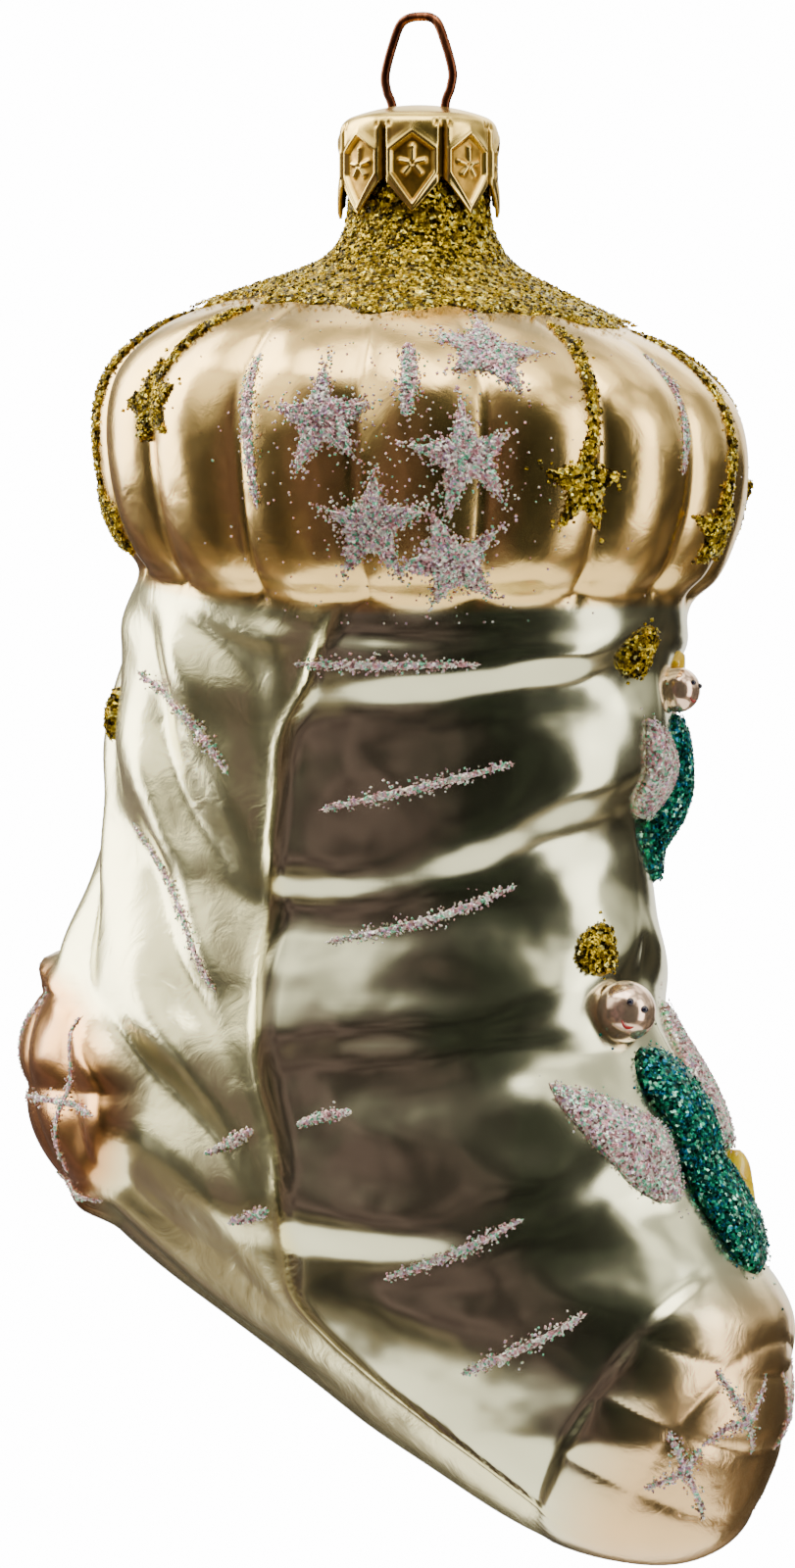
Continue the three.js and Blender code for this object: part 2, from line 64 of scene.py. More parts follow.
# Studio: a small pale floor well below the hanging ornament, in a warm room with a pale ceiling. The
# silvered glass mirrors a dark opening in front, a narrower one beside it, and the shade on the
# walls. Four large soft lights hang to the left, to the right, above and behind.
FLOOR_DROP, FLOOR_RADIUS = 0.48, 0.42
ROOM_BANDS = [(0.0, (0.34, 0.27, 0.18)), (0.22, (0.26, 0.20, 0.13)), (0.37, (0.035, 0.028, 0.020)),
              (0.54, (0.035, 0.030, 0.022)), (0.64, (0.95, 0.90, 0.72)), (1.0, (1.8, 1.70, 1.42))]
OPENING = [(0.0, (0, 0, 0)), (0.48, (0, 0, 0)), (0.64, (0.92, 0.92, 0.92)), (0.8, (1, 1, 1))]
OPENING_TONES = [(0.0, (0.082, 0.053, 0.053)), (0.36, (0.050, 0.035, 0.033)), (0.62, (0.010, 0.012, 0.008))]
OPENING_RIGHT, OPENING_RAGGED = (0.87, 0.5, 0.0), 0.70
DOOR_SIDE, DOOR_NARROWER = (-0.80, 0.45, -0.35), 0.28
WALL_SHADE, OPENING_SHADE = (0.3, 1.6), (0.3, 2.6)
ROOM_STRENGTH, BACKDROP_STRENGTH = 1.15, 15.0
LAMP_COLOUR = (1.0, 0.95, 0.83)
SOFTBOXES = [
    ((-0.90, -0.10, 0.35), (0.65, 1.15), 18),
    ((0.95, 0.05, 0.0), (0.4, 1.2), 6),
    ((0.0, -0.45, 1.05), (1.2, 0.6), 10),
    ((-0.3, 1.0, 0.2), (1.0, 0.9), 5),
]


def node_tree(owner):
    owner.use_nodes = True
    tree = owner.node_tree
    tree.nodes.clear()
    return tree


def add_node(tree, kind, links=None, **values):
    """Adds a node, sets its values, and links or sets the sockets named in links."""
    node = tree.nodes.new(kind)
    for key, value in values.items():
        setattr(node, key, value)
    for socket, source in (links or {}).items():
        if isinstance(source, bpy.types.NodeSocket):
            tree.links.new(source, node.inputs[socket])
        else:
            node.inputs[socket].default_value = source
    return node


def ramp(tree, share, stops, interpolation="LINEAR"):
    """A colour for each share from 0 to 1, through stops of a place and a colour."""
    node = add_node(tree, "ShaderNodeValToRGB", {"Fac": share})
    elements = node.color_ramp.elements
    node.color_ramp.interpolation = interpolation
    while len(elements) > 1:
        elements.remove(elements[-1])
    for index, (place, colour) in enumerate(stops):
        element = elements[0] if index == 0 else elements.new(place)
        element.position = place
        element.color = (*colour, 1)
    return node.outputs["Color"]


def noise(tree, place, scale, detail=2.0, distortion=0.0):
    """A soft random value for each place. A higher scale gives smaller clouds."""
    node = add_node(tree, "ShaderNodeTexNoise", {
        "Vector": place, "Scale": scale, "Detail": detail, "Distortion": distortion})
    return node.outputs["Fac"]


def stretch(tree, value, before=(0.0, 1.0), after=(0.0, 1.0)):
    """The value moved from the range before to the range after."""
    node = add_node(tree, "ShaderNodeMapRange", {
        "Value": value, "From Min": before[0], "From Max": before[1], "To Min": after[0], "To Max": after[1]})
    return node.outputs[0]


def number_math(tree, operation, *values):
    """The result of a sum on numbers, each one a socket or a value."""
    return add_node(tree, "ShaderNodeMath", dict(enumerate(values)), operation=operation).outputs[0]


def vector_math(tree, operation, *values):
    """The result of a sum on vectors or colours."""
    node = add_node(tree, "ShaderNodeVectorMath", dict(enumerate(values)), operation=operation)
    return node.outputs["Value" if operation == "DOT_PRODUCT" else "Vector"]


def surface(tree, sockets):
    """Ends a material's tree with a surface that has these values and links."""
    shader = add_node(tree, "ShaderNodeBsdfPrincipled", sockets)
    add_node(tree, "ShaderNodeOutputMaterial", {"Surface": shader.outputs[0]})


floor_mesh = bpy.data.meshes.new("floor")
bm = bmesh.new()
bmesh.ops.create_circle(bm, cap_ends=True, segments=96, radius=FLOOR_RADIUS,
                        matrix=Matrix.Translation((0, 0, -FLOOR_DROP)))
bm.to_mesh(floor_mesh)
bm.free()
floor = bpy.data.objects.new("floor", floor_mesh)
bpy.context.scene.collection.objects.link(floor)
floor_look = bpy.data.materials.new("pale_floor")
tree = node_tree(floor_look)
place = add_node(tree, "ShaderNodeTexCoord").outputs["Generated"]
tone = ramp(tree, noise(tree, place, 6.0), [(0.3, (0.80, 0.80, 0.79)), (0.7, (0.86, 0.86, 0.85))])
surface(tree, {"Base Color": tone, "Roughness": 0.7})
floor.data.materials.append(floor_look)

world = bpy.data.worlds.new("studio")
bpy.context.scene.world = world
tree = node_tree(world)
where = add_node(tree, "ShaderNodeTexCoord").outputs["Generated"]
split = add_node(tree, "ShaderNodeSeparateXYZ", {"Vector": where})
walls = ramp(tree, stretch(tree, split.outputs["Z"], (-1.0, 1.0)), ROOM_BANDS)
shade = stretch(tree, noise(tree, where, 2.6, 1.0), (0.40, 0.60), WALL_SHADE)
shaded = vector_math(tree, "MULTIPLY", walls, shade)

ahead = vector_math(tree, "DOT_PRODUCT", where, toward)
beside = vector_math(tree, "DOT_PRODUCT", where, DOOR_SIDE)
nearer = number_math(tree, "MAXIMUM", ahead, number_math(tree, "SUBTRACT", beside, DOOR_NARROWER))
uneven = number_math(tree, "MULTIPLY_ADD", noise(tree, where, 3.2), OPENING_RAGGED, -OPENING_RAGGED / 2)
dark = ramp(tree, number_math(tree, "ADD", nearer, uneven), OPENING)
sideways = vector_math(tree, "DOT_PRODUCT", where, OPENING_RIGHT)
gloom = ramp(tree, stretch(tree, sideways, (-0.7, 0.5)), OPENING_TONES)
depth = stretch(tree, noise(tree, where, 5.5), (0.38, 0.66), OPENING_SHADE)

room_mix = add_node(tree, "ShaderNodeMix", {
    0: dark, 6: shaded, 7: vector_math(tree, "MULTIPLY", gloom, depth)}, data_type="RGBA")
room = add_node(tree, "ShaderNodeBackground", {"Color": room_mix.outputs[2], "Strength": ROOM_STRENGTH})
white = add_node(tree, "ShaderNodeBackground", {"Color": (1, 1, 1, 1), "Strength": BACKDROP_STRENGTH})
seen = add_node(tree, "ShaderNodeLightPath")
both = add_node(tree, "ShaderNodeMixShader", {
    0: seen.outputs["Is Camera Ray"], 1: room.outputs[0], 2: white.outputs[0]})
add_node(tree, "ShaderNodeOutputWorld", {"Surface": both.outputs[0]})

for index, (spot, size, power) in enumerate(SOFTBOXES):
    light = bpy.data.lights.new(f"softbox_{index}", "AREA")
    light.shape = "RECTANGLE"
    light.size, light.size_y = size
    light.energy = power
    light.color = LAMP_COLOUR
    lamp = bpy.data.objects.new(f"softbox_{index}", light)
    lamp.location = spot
    lamp.rotation_euler = (target - lamp.location).to_track_quat("-Z", "Y").to_euler()
    bpy.context.scene.collection.objects.link(lamp)


# The glass stocking: one thin blown shell, silvered inside and lacquered. A place on it is an
# angle, 0 at the front and growing towards -Y, and a depth below the cap's wire holes. The cuff's
# lobes, the folds, the parting line and the quilted heel and toe are relief in the glass itself.
LOOP_HIGH = 7.9
NECK, MOUTH, WALL = 5.9, 1.2, 1.0
TOE_DEPTH, TOE_ROUND = 128.5, 12.5
CUFF_TOP, CUFF_FOOT = 16, 42

# The outline on the heel's side, the outline on the toe's side and half the thickness, and the
# angle of the parting line, each at its depth.
BACK = [(0, -NECK), (9, -NECK), (12, -6.7), (14.3, -8.9), (16.5, -14), (18.6, -19.6), (20.4, -24), (22.8, -27.4),
        (25.4, -29.4), (29, -30.3), (33.3, -30.1), (37, -29.2), (40, -27.6), (42, -26.4), (44.5, -27.2),
        (56.7, -29.5), (69, -31.6), (77.7, -35.6), (86, -37.6), (95.2, -34.2), (100.1, -28.7), (107.9, -17.3),
        (116, -5), (121.2, 2.6), (127.5, 8.9), (TOE_DEPTH, 10)]
FRONT = [(0, NECK), (9, NECK), (12, 6.7), (14.3, 8.9), (16.5, 14), (18.6, 19.6), (20.4, 24), (22.8, 27.4),
         (25.4, 29.4), (29, 30.3), (33.3, 30.1), (37, 29), (40, 27.4), (42, 25.4), (44.5, 24.8), (56.7, 23.6),
         (69, 21.7), (77.7, 23), (86, 26), (95.2, 29.7), (100.1, 31.7), (107.9, 35), (116, 34.5),
         (121.2, 34.2), (127.5, 37), (TOE_DEPTH, 38)]
THICK = [(0, NECK), (9, NECK), (12, 6.7), (14.3, 8.7), (16.5, 13), (18.6, 17.4), (20.4, 20.6), (22.8, 23.2),
         (25.4, 24.8), (29, 25.5), (33.3, 25.4), (37, 24.6), (40, 23.2), (42, 21), (44.5, 20.3), (56.7, 19.5),
         (69, 18.5), (77.7, 19.8), (86, 21.2), (95.2, 20.8), (100.1, 20), (107.9, 18), (116, 14.8),
         (121.2, 13), (TOE_DEPTH, 12.6)]
SEAM_HIGH, SEAM_HALF, SEAM_END = 0.45, 0.55, 124
SEAM = [(CUFF_FOOT, 80), (51, 84), (57, 89), (80, 86), (90, 86), (96, 90), (101, 98), (106, 108), (112, 108),
        (118, 101), (SEAM_END, 94)]
LOBES, LOBE_TURN, LOBE_DEEP, LOBE_ROUND = 16, 7.85, 1.15, 0.75
CUFF_TILT, CUFF_SAG = math.radians(4), 2.2
FOLD_HIGH, FOLD_PITCH, FOLD_FIRST, FOLD_LEAN, FOLD_WANDER = 1.35, 15.4, 51, 0.6, 0.05
RISE_FRONT, RISE_BACK, FOLDS_FADE = 9, 15, (96, 116)
DRAPE_HIGH, DRAPE_PITCH, DRAPE_SLANT, DENT_DEEP = 1.3, 13, 1.3, 0.2
HEEL_DEPTH, HEEL_TALL, HEEL_ANGLE, HEEL_PROUD = 87.5, 26, 68, 0.9
QUILT_HIGH, QUILT_TALL, QUILT_ANGLE = 0.9, 8.4, 21
RIM_PROUD, RIM_REACH, RIM_WIDE = 0.45, 0.9, 0.07
TOE_LINE, TOE_SLOPE, TOE_PROUD = 82.3, math.radians(33), 0.5
TOE_PITCH, TOE_QUILT = 6.2, 0.55
MM_PER_DEGREE = 0.36


def through(points):
    """A smooth curve through a few (depth, value) points, as a function."""
    xs, ys = np.array(points, float).T
    slopes = np.empty(len(xs))
    slopes[1:-1] = (ys[2:] - ys[:-2]) / (xs[2:] - xs[:-2])
    slopes[0] = (ys[1] - ys[0]) / (xs[1] - xs[0])
    slopes[-1] = (ys[-1] - ys[-2]) / (xs[-1] - xs[-2])

    def curve(x):
        x = np.asarray(x, float)
        i = np.clip(np.searchsorted(xs, x) - 1, 0, len(xs) - 2)
        wide = xs[i + 1] - xs[i]
        t = (x - xs[i]) / wide
        ends = ys[i] * (2 * t ** 3 - 3 * t ** 2 + 1) + ys[i + 1] * (3 * t ** 2 - 2 * t ** 3)
        return ends + wide * (slopes[i] * (t ** 3 - 2 * t ** 2 + t) + slopes[i + 1] * (t ** 3 - t ** 2))

    return curve


back_line, front_line, half_thick, seam_angle = through(BACK), through(FRONT), through(THICK), through(SEAM)


def ease(x, low, high):
    """0 below low, 1 above high, and a smooth step between them."""
    t = np.clip((x - low) / (high - low), 0, 1)
    return t * t * (3 - 2 * t)


def ridge(distance, wide):
    return np.exp(-(distance / wide) ** 2)


def toe_end(depth):
    """Share of the full width that the rounded toe still has."""
    return np.sqrt(1 - np.clip((depth - TOE_DEPTH + TOE_ROUND) / TOE_ROUND, 0, 1) ** 2)


def from_back(angle):
    return 180 - np.abs((angle + 180) % 360 - 180)


def past_seam(angle, depth):
    """Degrees behind the parting line, the same on both sides of the stocking."""
    return 180 - from_back(angle) - seam_angle(np.clip(depth, CUFF_FOOT, SEAM_END))


def seam_share(angle, depth, start):
    """1 on the parting line and 0 away from it. It comes up over start millimetres below the cuff."""
    on_line = ridge(past_seam(angle, depth) * MM_PER_DEGREE, SEAM_HALF)
    return on_line * ease(depth, CUFF_FOOT, CUFF_FOOT + start) * (1 - ease(depth, SEAM_END - 3, SEAM_END + 1))


def reach_of_heel(angle, depth):
    """0 in the middle of the heel patch and 1 at its edge."""
    return np.hypot(from_back(angle) / HEEL_ANGLE, (depth - HEEL_DEPTH) / (HEEL_TALL / 2))


def along_toe(x, depth):
    return x * math.cos(TOE_SLOPE) + depth * math.sin(TOE_SLOPE)


def zones(angle, depth, x):
    """Shares from 0 to 1 of the cuff, the heel patch, the toe patch and the satin back half."""
    cuff = ease(depth, CUFF_TOP, CUFF_TOP + 8) * (1 - ease(depth, CUFF_FOOT - 1.5, CUFF_FOOT + 1.5))
    heel = 1 - ease(reach_of_heel(angle, depth), 0.92, 1.04)
    toe = ease(along_toe(x, depth), TOE_LINE - 0.6, TOE_LINE + 0.6)
    satin = ease(past_seam(angle, depth), -0.6, 0.6) * ease(depth, CUFF_FOOT, CUFF_FOOT + 1) * (1 - toe)
    return cuff, heel, toe, satin


def leg_folds(angle, depth):
    """Folds that run round the leg, sharper on one side, and rise towards its front and back."""
    rise = np.where(from_back(angle) > 90, RISE_FRONT, RISE_BACK)
    turns = (depth + rise * (1 - np.abs(np.sin(np.radians(angle)))) - FOLD_FIRST) / FOLD_PITCH
    turns = turns + FOLD_WANDER * np.sin(np.radians(3 * angle) + depth * 0.2)
    turns = turns + FOLD_LEAN * (1 - np.cos(2 * np.pi * turns)) / (2 * np.pi)
    return FOLD_HIGH * (0.5 + 0.5 * np.cos(2 * np.pi * turns)) ** 1.5 - FOLD_HIGH * 0.4


def back_drapes(angle, depth):
    """Drapes that slant down from the parting line across the satin back."""
    off_seam = past_seam(angle, depth) * MM_PER_DEGREE
    wander = 1.2 * np.sin(off_seam * 0.5 + depth * 0.12)
    turns = (depth + DRAPE_SLANT * off_seam + wander) / DRAPE_PITCH
    return DRAPE_HIGH * (np.abs(np.cos(np.pi * turns)) ** 1.6 - 0.45) * ease(off_seam, 0.5, 5)


def shallow_dents(angle, depth):
    side = np.abs(np.sin(np.radians(angle)))
    return DENT_DEEP * np.sin(depth * 0.43 + 2 * side) * np.sin(np.radians(angle) * 7 + depth * 0.19)


def pillows(across, along):
    """Height, as a share, of a quilting whose pillows are counted across and along."""
    return np.abs(np.sin(np.pi * across) * np.sin(np.pi * along)) ** 0.6


def relief(angle, depth, x):
    """How far the glass stands out from its plain form, in millimetres."""
    cuff, heel, toe, satin = zones(angle, depth, x)
    lobe = np.abs(np.sin(np.radians((angle - LOBE_TURN) * LOBES / 2))) ** LOBE_ROUND
    leg = ease(depth, CUFF_FOOT + 1, CUFF_FOOT + 6) * (1 - ease(depth, *FOLDS_FADE)) * (1 - heel) * (1 - toe)
    folds = leg_folds(angle, depth) * (1 - 0.6 * satin) + back_drapes(angle, depth) * satin
    quilt = QUILT_HIGH * pillows(from_back(angle) / QUILT_ANGLE + 0.5, (depth - HEEL_DEPTH) / QUILT_TALL)
    rim = RIM_PROUD * ridge(reach_of_heel(angle, depth) - RIM_REACH, RIM_WIDE)
    across = depth * math.cos(TOE_SLOPE) - x * math.sin(TOE_SLOPE)
    lattice = TOE_QUILT * pillows(across / TOE_PITCH, (along_toe(x, depth) - TOE_LINE) / TOE_PITCH)
    return (-LOBE_DEEP * (1 - lobe) * cuff + (folds + shallow_dents(angle, depth)) * leg
            + (HEEL_PROUD + quilt + rim) * heel + (TOE_PROUD + lattice) * toe * toe_end(depth)
            + SEAM_HIGH * seam_share(angle, depth, 2))


def skin(angle, depth):
    """The point of the glass at an angle and a depth, in millimetres from the frame's origin at
    the top of the loop's inside. The cuff is tilted, and sags at its sides."""
    angle, depth = np.broadcast_arrays(np.asarray(angle, float), np.asarray(depth, float))
    c, s = np.cos(np.radians(angle)), np.sin(np.radians(angle))
    middle = (front_line(depth) + back_line(depth)) / 2
    end = toe_end(depth)
    long = end * (front_line(depth) - back_line(depth)) / 2
    thick = end * half_thick(depth)
    proud = relief(angle, depth, middle + long * c)
    nx, ny = c / np.maximum(long, 0.5), s / np.maximum(thick, 0.5)
    size = np.hypot(nx, ny)
    x = middle + long * c + proud * nx / size
    y = -thick * s - proud * ny / size
    tilted = ease(depth, 9, 18) * (1 - ease(depth, CUFF_FOOT, CUFF_FOOT + 14))
    sagged = ease(depth, CUFF_FOOT - 9, CUFF_FOOT - 1) * (1 - ease(depth, CUFF_FOOT + 1, CUFF_FOOT + 8))
    z = -depth - math.tan(CUFF_TILT) * x * tilted - CUFF_SAG * s * s * sagged
    return np.stack([x, y, z - LOOP_HIGH], axis=-1)


def unit(vectors):
    return vectors / np.maximum(np.linalg.norm(vectors, axis=-1, keepdims=True), 1e-9)


def outward(angle, depth):
    """The direction out of the glass at an angle and a depth."""
    low = np.minimum(depth, TOE_DEPTH - 0.3)
    across = skin(angle + 0.5, low) - skin(angle - 0.5, low)
    down = skin(angle, low + 0.15) - skin(angle, low - 0.15)
    return unit(np.cross(across, down))


def on_glass(angle, depth, lift):
    return skin(angle, depth) + outward(angle, depth) * np.asarray(lift, float)[..., None]


def sheet_of(columns, rows, lay, keep=()):
    """A sheet of quads. lay(i, j) gives the points, in millimetres, of the corners in column i
    and row j, and the values that are kept on them. Corners that meet are merged."""
    bm = bmesh.new()
    bmesh.ops.create_grid(bm, x_segments=columns, y_segments=rows, size=1)
    corners = np.array([vert.co[:] for vert in bm.verts])
    i, j = np.rint((corners[:, 0] + 1) / 2 * columns), np.rint((corners[:, 1] + 1) / 2 * rows)
    points, kept = lay(i, j) if keep else (lay(i, j), ())
    layers = [bm.verts.layers.float.new(name) for name in keep]
    for vert, point in zip(bm.verts, points * MM):
        vert.co = point
    for layer, values in zip(layers, kept):
        for vert, value in zip(bm.verts, values):
            vert[layer] = value
    bmesh.ops.remove_doubles(bm, verts=bm.verts, dist=1e-6)
    bmesh.ops.recalc_face_normals(bm, faces=bm.faces)
    return bm


def finish_piece(name, bm, look, body="glass", nodes=()):
    """Makes the mesh an object that rides on a body, with its material, and hides the imported parts of the nodes it
    stands for.
    """
    mesh = bpy.data.meshes.new(name)
    bm.to_mesh(mesh)
    bm.free()
    mesh.shade_smooth()
    mesh.materials.append(look)
    piece = bpy.data.objects.new(name, mesh)
    bpy.context.scene.collection.objects.link(piece)
    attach(piece, body)
    if nodes:
        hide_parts(*nodes)
    return piece


def paint(red, green, blue):
    """A colour from its everyday 0 to 255 values."""
    return tuple((value / 255 / 12.92) if value <= 10 else ((value / 255 + 0.055) / 1.055) ** 2.4
                 for value in (red, green, blue))


LACQUERS = {
    "leg": paint(226, 228, 196), "cuff": paint(250, 213, 138), "satin": paint(248, 244, 198),
    "heel": paint(228, 170, 108), "toe": paint(244, 206, 152), "seam": paint(240, 232, 172),
}
DULL = {"satin": 0.36, "cuff": 0.2, "heel": 0.2, "toe": 0.4}
TOE_BLEND = 7


def start_look(name):
    """A new material, with its tree and the object's own coordinates."""
    look = bpy.data.materials.new(name)
    tree = node_tree(look)
    return look, tree, add_node(tree, "ShaderNodeTexCoord").outputs["Object"]


def bumped(tree, height, strength, distance, normal=None):
    sockets = {"Height": height, "Strength": strength, "Distance": distance}
    if normal:
        sockets["Normal"] = normal
    return add_node(tree, "ShaderNodeBump", sockets).outputs[0]


glass_look, tree, place = start_look("silvered_glass")
lacquer = add_node(tree, "ShaderNodeAttribute", attribute_name="lacquer").outputs["Color"]
dull = add_node(tree, "ShaderNodeAttribute", attribute_name="dull").outputs["Fac"]
stain = stretch(tree, noise(tree, place, 90.0, 3.0), (0.3, 0.7), (0.88, 1.0))
creases = number_math(tree, "MULTIPLY", noise(tree, place, 300.0, 5.0, 1.6), dull)
waves = bumped(tree, noise(tree, place, 110.0), 0.4, 0.001)
surface(tree, {
    "Base Color": vector_math(tree, "MULTIPLY", lacquer, stain), "Metallic": 0.99,
    "Roughness": stretch(tree, dull, after=(0.18, 0.40)), "Normal": bumped(tree, creases, 0.5, 0.0004, waves),
    "Coat Weight": 0.25, "Coat Roughness": 0.06})

GLASS_COLUMNS, OUTER_ROWS, INNER_ROWS, INNER_END = 272, 300, 56, TOE_DEPTH - 2
row_depths = np.linspace(MOUTH, TOE_DEPTH, 4000)
steps = np.hypot(np.diff(row_depths), np.abs(np.diff(back_line(row_depths) * toe_end(row_depths))))
row_walk = np.concatenate([[0], np.cumsum(steps)])


def glass_rows(i, j):
    """Rows run from the toe up the inside to the mouth, then down the outside to the toe."""
    angle = LOBE_TURN + i * 360 / GLASS_COLUMNS
    inside = INNER_END + (MOUTH - INNER_END) * np.clip(j / INNER_ROWS, 0, 1)
    outside = np.interp((j - INNER_ROWS) / OUTER_ROWS * row_walk[-1], row_walk, row_depths)
    depth = np.where(j < INNER_ROWS, inside, outside)
    points = on_glass(angle, depth, np.where(j < INNER_ROWS, -WALL, 0))
    points[j == 0] = skin(0, TOE_DEPTH) + (0, 0, 1.5 * WALL)
    return points, (angle, depth)


def lacquer_glass(piece):
    """Stores the lacquer's colour and how dull it is on the glass's points."""
    mesh = piece.data
    count = len(mesh.vertices)
    angle, depth = np.empty(count, np.float32), np.empty(count, np.float32)
    mesh.attributes["angle"].data.foreach_get("value", angle)
    mesh.attributes["depth"].data.foreach_get("value", depth)
    spots = np.empty(count * 3, np.float32)
    mesh.vertices.foreach_get("co", spots)
    _, heel, toe, satin = zones(angle, depth, spots[::3] / MM)
    seam = seam_share(angle, depth, 1)
    cuff = 1 - ease(depth, CUFF_FOOT + 0.4, CUFF_FOOT + 1.2)
    toe = toe * ease(along_toe(spots[::3] / MM, depth), TOE_LINE - 1, TOE_LINE + TOE_BLEND)
    colour = np.tile(LACQUERS["leg"], (count, 1))
    for share, name in [(satin, "satin"), (cuff, "cuff"), (heel, "heel"), (toe, "toe"), (seam, "seam")]:
        colour += (np.array(LACQUERS[name]) - colour) * share[:, None]
    layer = mesh.attributes.new("lacquer", "FLOAT_COLOR", "POINT")
    layer.data.foreach_set("color", np.column_stack([colour, np.ones(count)]).astype(np.float32).ravel())
    dullness = (satin * (1 - heel) * DULL["satin"] + cuff * DULL["cuff"] + heel * DULL["heel"]
                + toe * DULL["toe"])
    layer = mesh.attributes.new("dull", "FLOAT", "POINT")
    layer.data.foreach_set("value", np.clip(dullness, 0, 1).astype(np.float32))
    for key in ("angle", "depth"):
        mesh.attributes.remove(mesh.attributes[key])


bm = sheet_of(GLASS_COLUMNS, INNER_ROWS + OUTER_ROWS, glass_rows, keep=("angle", "depth"))
glass = finish_piece("stocking_glass", bm, glass_look, nodes=["glass_stocking"])
lacquer_glass(glass)


# Two angels are blown in the glass's front: each a dress, two wings, a round head and one more
# bump, a lantern or fair hair. The bumps are smooth domes that run into the shell around them.
LOWER_ANGEL = {"angle": 3, "depth": 91, "turn": 20, "size": 1.0, "head": 2.7}
UPPER_ANGEL = {"angle": -17, "depth": 60, "turn": 8, "size": 0.76, "head": 2.0}
DRESS_HIGH, WING_HIGH, HEAD_UP, HEAD_OUT, HAIR_HIGH, LANTERN_HIGH = 1.7, 0.8, 11.4, 0.35, 1.0, 2.1
LEFT_OF_DRESS = [(0, 8.6), (-1.7, 7.9), (-2.9, 5.6), (-2.6, 2), (-3.2, -2), (-4.2, -6), (-4.6, -9.5),
                 (-3, -11.6), (0, -12.2)]
DRESS = LEFT_OF_DRESS + [(-right, up) for right, up in LEFT_OF_DRESS[-2:0:-1]]
NEAR_WING = [(-3.5, 2.6), (-5, 4.8), (-7.6, 7.4), (-10, 9.2), (-10.5, 7.2), (-10.3, 3.4), (-9.6, -0.4), (-7.9, -3),
             (-5.4, -3.8), (-4, -2.2)]
FAR_WING = [(-right, up) for right, up in reversed(NEAR_WING)]
LANTERN = [(6.6, -3.6), (5.4, -5.4), (5.2, -8), (5.8, -10.8), (7, -12), (8.2, -9.6), (8.4, -6.4), (7.6, -4.2)]
HAIR = [(2.2, 17), (0.6, 15.4), (1.2, 12.4), (2.6, 9.6), (4.4, 9), (5.4, 11.6), (5.2, 14.6), (4, 16.6)]


def ring_of(corners, count, rounding):
    """The outline through corners as evenly spaced points, with its corners rounded off."""
    closed = np.array(list(corners) + [corners[0]], float)
    walked = np.concatenate([[0], np.cumsum(np.linalg.norm(np.diff(closed, axis=0), axis=1))])
    spots = np.linspace(0, walked[-1], count, endpoint=False)
    ring = np.column_stack([np.interp(spots, walked, closed[:, 0]), np.interp(spots, walked, closed[:, 1])])
    for _ in range(rounding):
        ring = (np.roll(ring, 1, axis=0) + 2 * ring + np.roll(ring, -1, axis=0)) / 4
    return ring


def spread_on_glass(place, right, up):
    """Angle and depth of points given in millimetres right of and above a place on the glass."""
    angle, depth = place["angle"], place["depth"]
    per_degree = np.linalg.norm(skin(angle + 1, depth) - skin(angle - 1, depth)) / 2
    per_depth = np.linalg.norm(skin(angle, depth + 1) - skin(angle, depth - 1)) / 2
    turn, size = math.radians(place.get("turn", 0)), place.get("size", 1)
    c, s = math.cos(turn) * size, math.sin(turn) * size
    return angle - (right * c - up * s) / per_degree, depth - (right * s + up * c) / per_depth


def dome(high):
    """Heights of a round dome, for patch."""
    return lambda share: high * np.sqrt(np.clip(1 - share ** 2, 0, 1))


def level(high):
    """The same height everywhere, for patch."""
    return lambda share: high + 0 * share


def patch(place, ring, rings, under, over):
    """A closed raised patch on the glass inside an outline. under and over give the heights of
    its two faces at a share of the way from the middle to the outline."""
    count = len(ring)
    heart = ring.mean(axis=0)

    def lay(i, j):
        share = 1 - np.abs(j - rings) / rings
        corner = heart + (ring[i.astype(int) % count] - heart) * share[:, None]
        angle, depth = spread_on_glass(place, corner[:, 0], corner[:, 1])
        return on_glass(angle, depth, np.where(j <= rings, under(share), over(share)))

    return sheet_of(count, 2 * rings, lay)


def clear_lacquer(colour, name, roughness=0.2):
    """Silvered glass in one clear lacquer, faintly clouded."""
    look, tree, place = start_look(name)
    pale = tuple(min(1, part * 1.08) for part in colour)
    surface(tree, {
        "Base Color": ramp(tree, noise(tree, place, 400.0), [(0.35, colour), (0.65, pale)]),
        "Metallic": 0.85, "Roughness": roughness, "Coat Weight": 0.5, "Coat Roughness": 0.05})
    return look


def enamel(colour, deep, name):
    """A thick glossy enamel that pools darker in places."""
    look, tree, place = start_look(name)
    tone = ramp(tree, noise(tree, place, 500.0), [(0.3, deep), (0.6, colour)])
    surface(tree, {"Base Color": tone, "Roughness": 0.2, "Coat Weight": 0.6})
    return look


skin_look = clear_lacquer(paint(245, 212, 190), "pale_skin_lacquer", 0.16)
body_look = clear_lacquer(paint(228, 224, 210), "angel_body_glass")
yellow_look = enamel(paint(245, 214, 20), paint(205, 150, 5), "yellow_enamel")
eye_look = enamel(paint(25, 25, 60), paint(10, 10, 30), "dark_blue_enamel")
mouth_look = enamel(paint(190, 40, 40), paint(150, 20, 25), "red_enamel")
FACE_TURN, FACE_ROLL = math.radians(28), math.radians(8)
EYE_OUT, EYE_UP, EYE_WIDE = math.radians(16), math.radians(14), 0.125
SMILE_WIDE, SMILE_DOWN, SMILE_BOW = math.radians(15), math.radians(24), math.radians(7)
SMILE_FAT, SMILE_STEPS, SMILE_SIDES = 0.075, 24, 8


def angel_bump(name, angel, outline, high, look):
    """One bump of an angel, which starts inside the glass's wall."""
    bm = patch(angel, ring_of(outline, 96, 6), 12, level(-WALL * 0.45), dome(high))
    return finish_piece(name, bm, look)


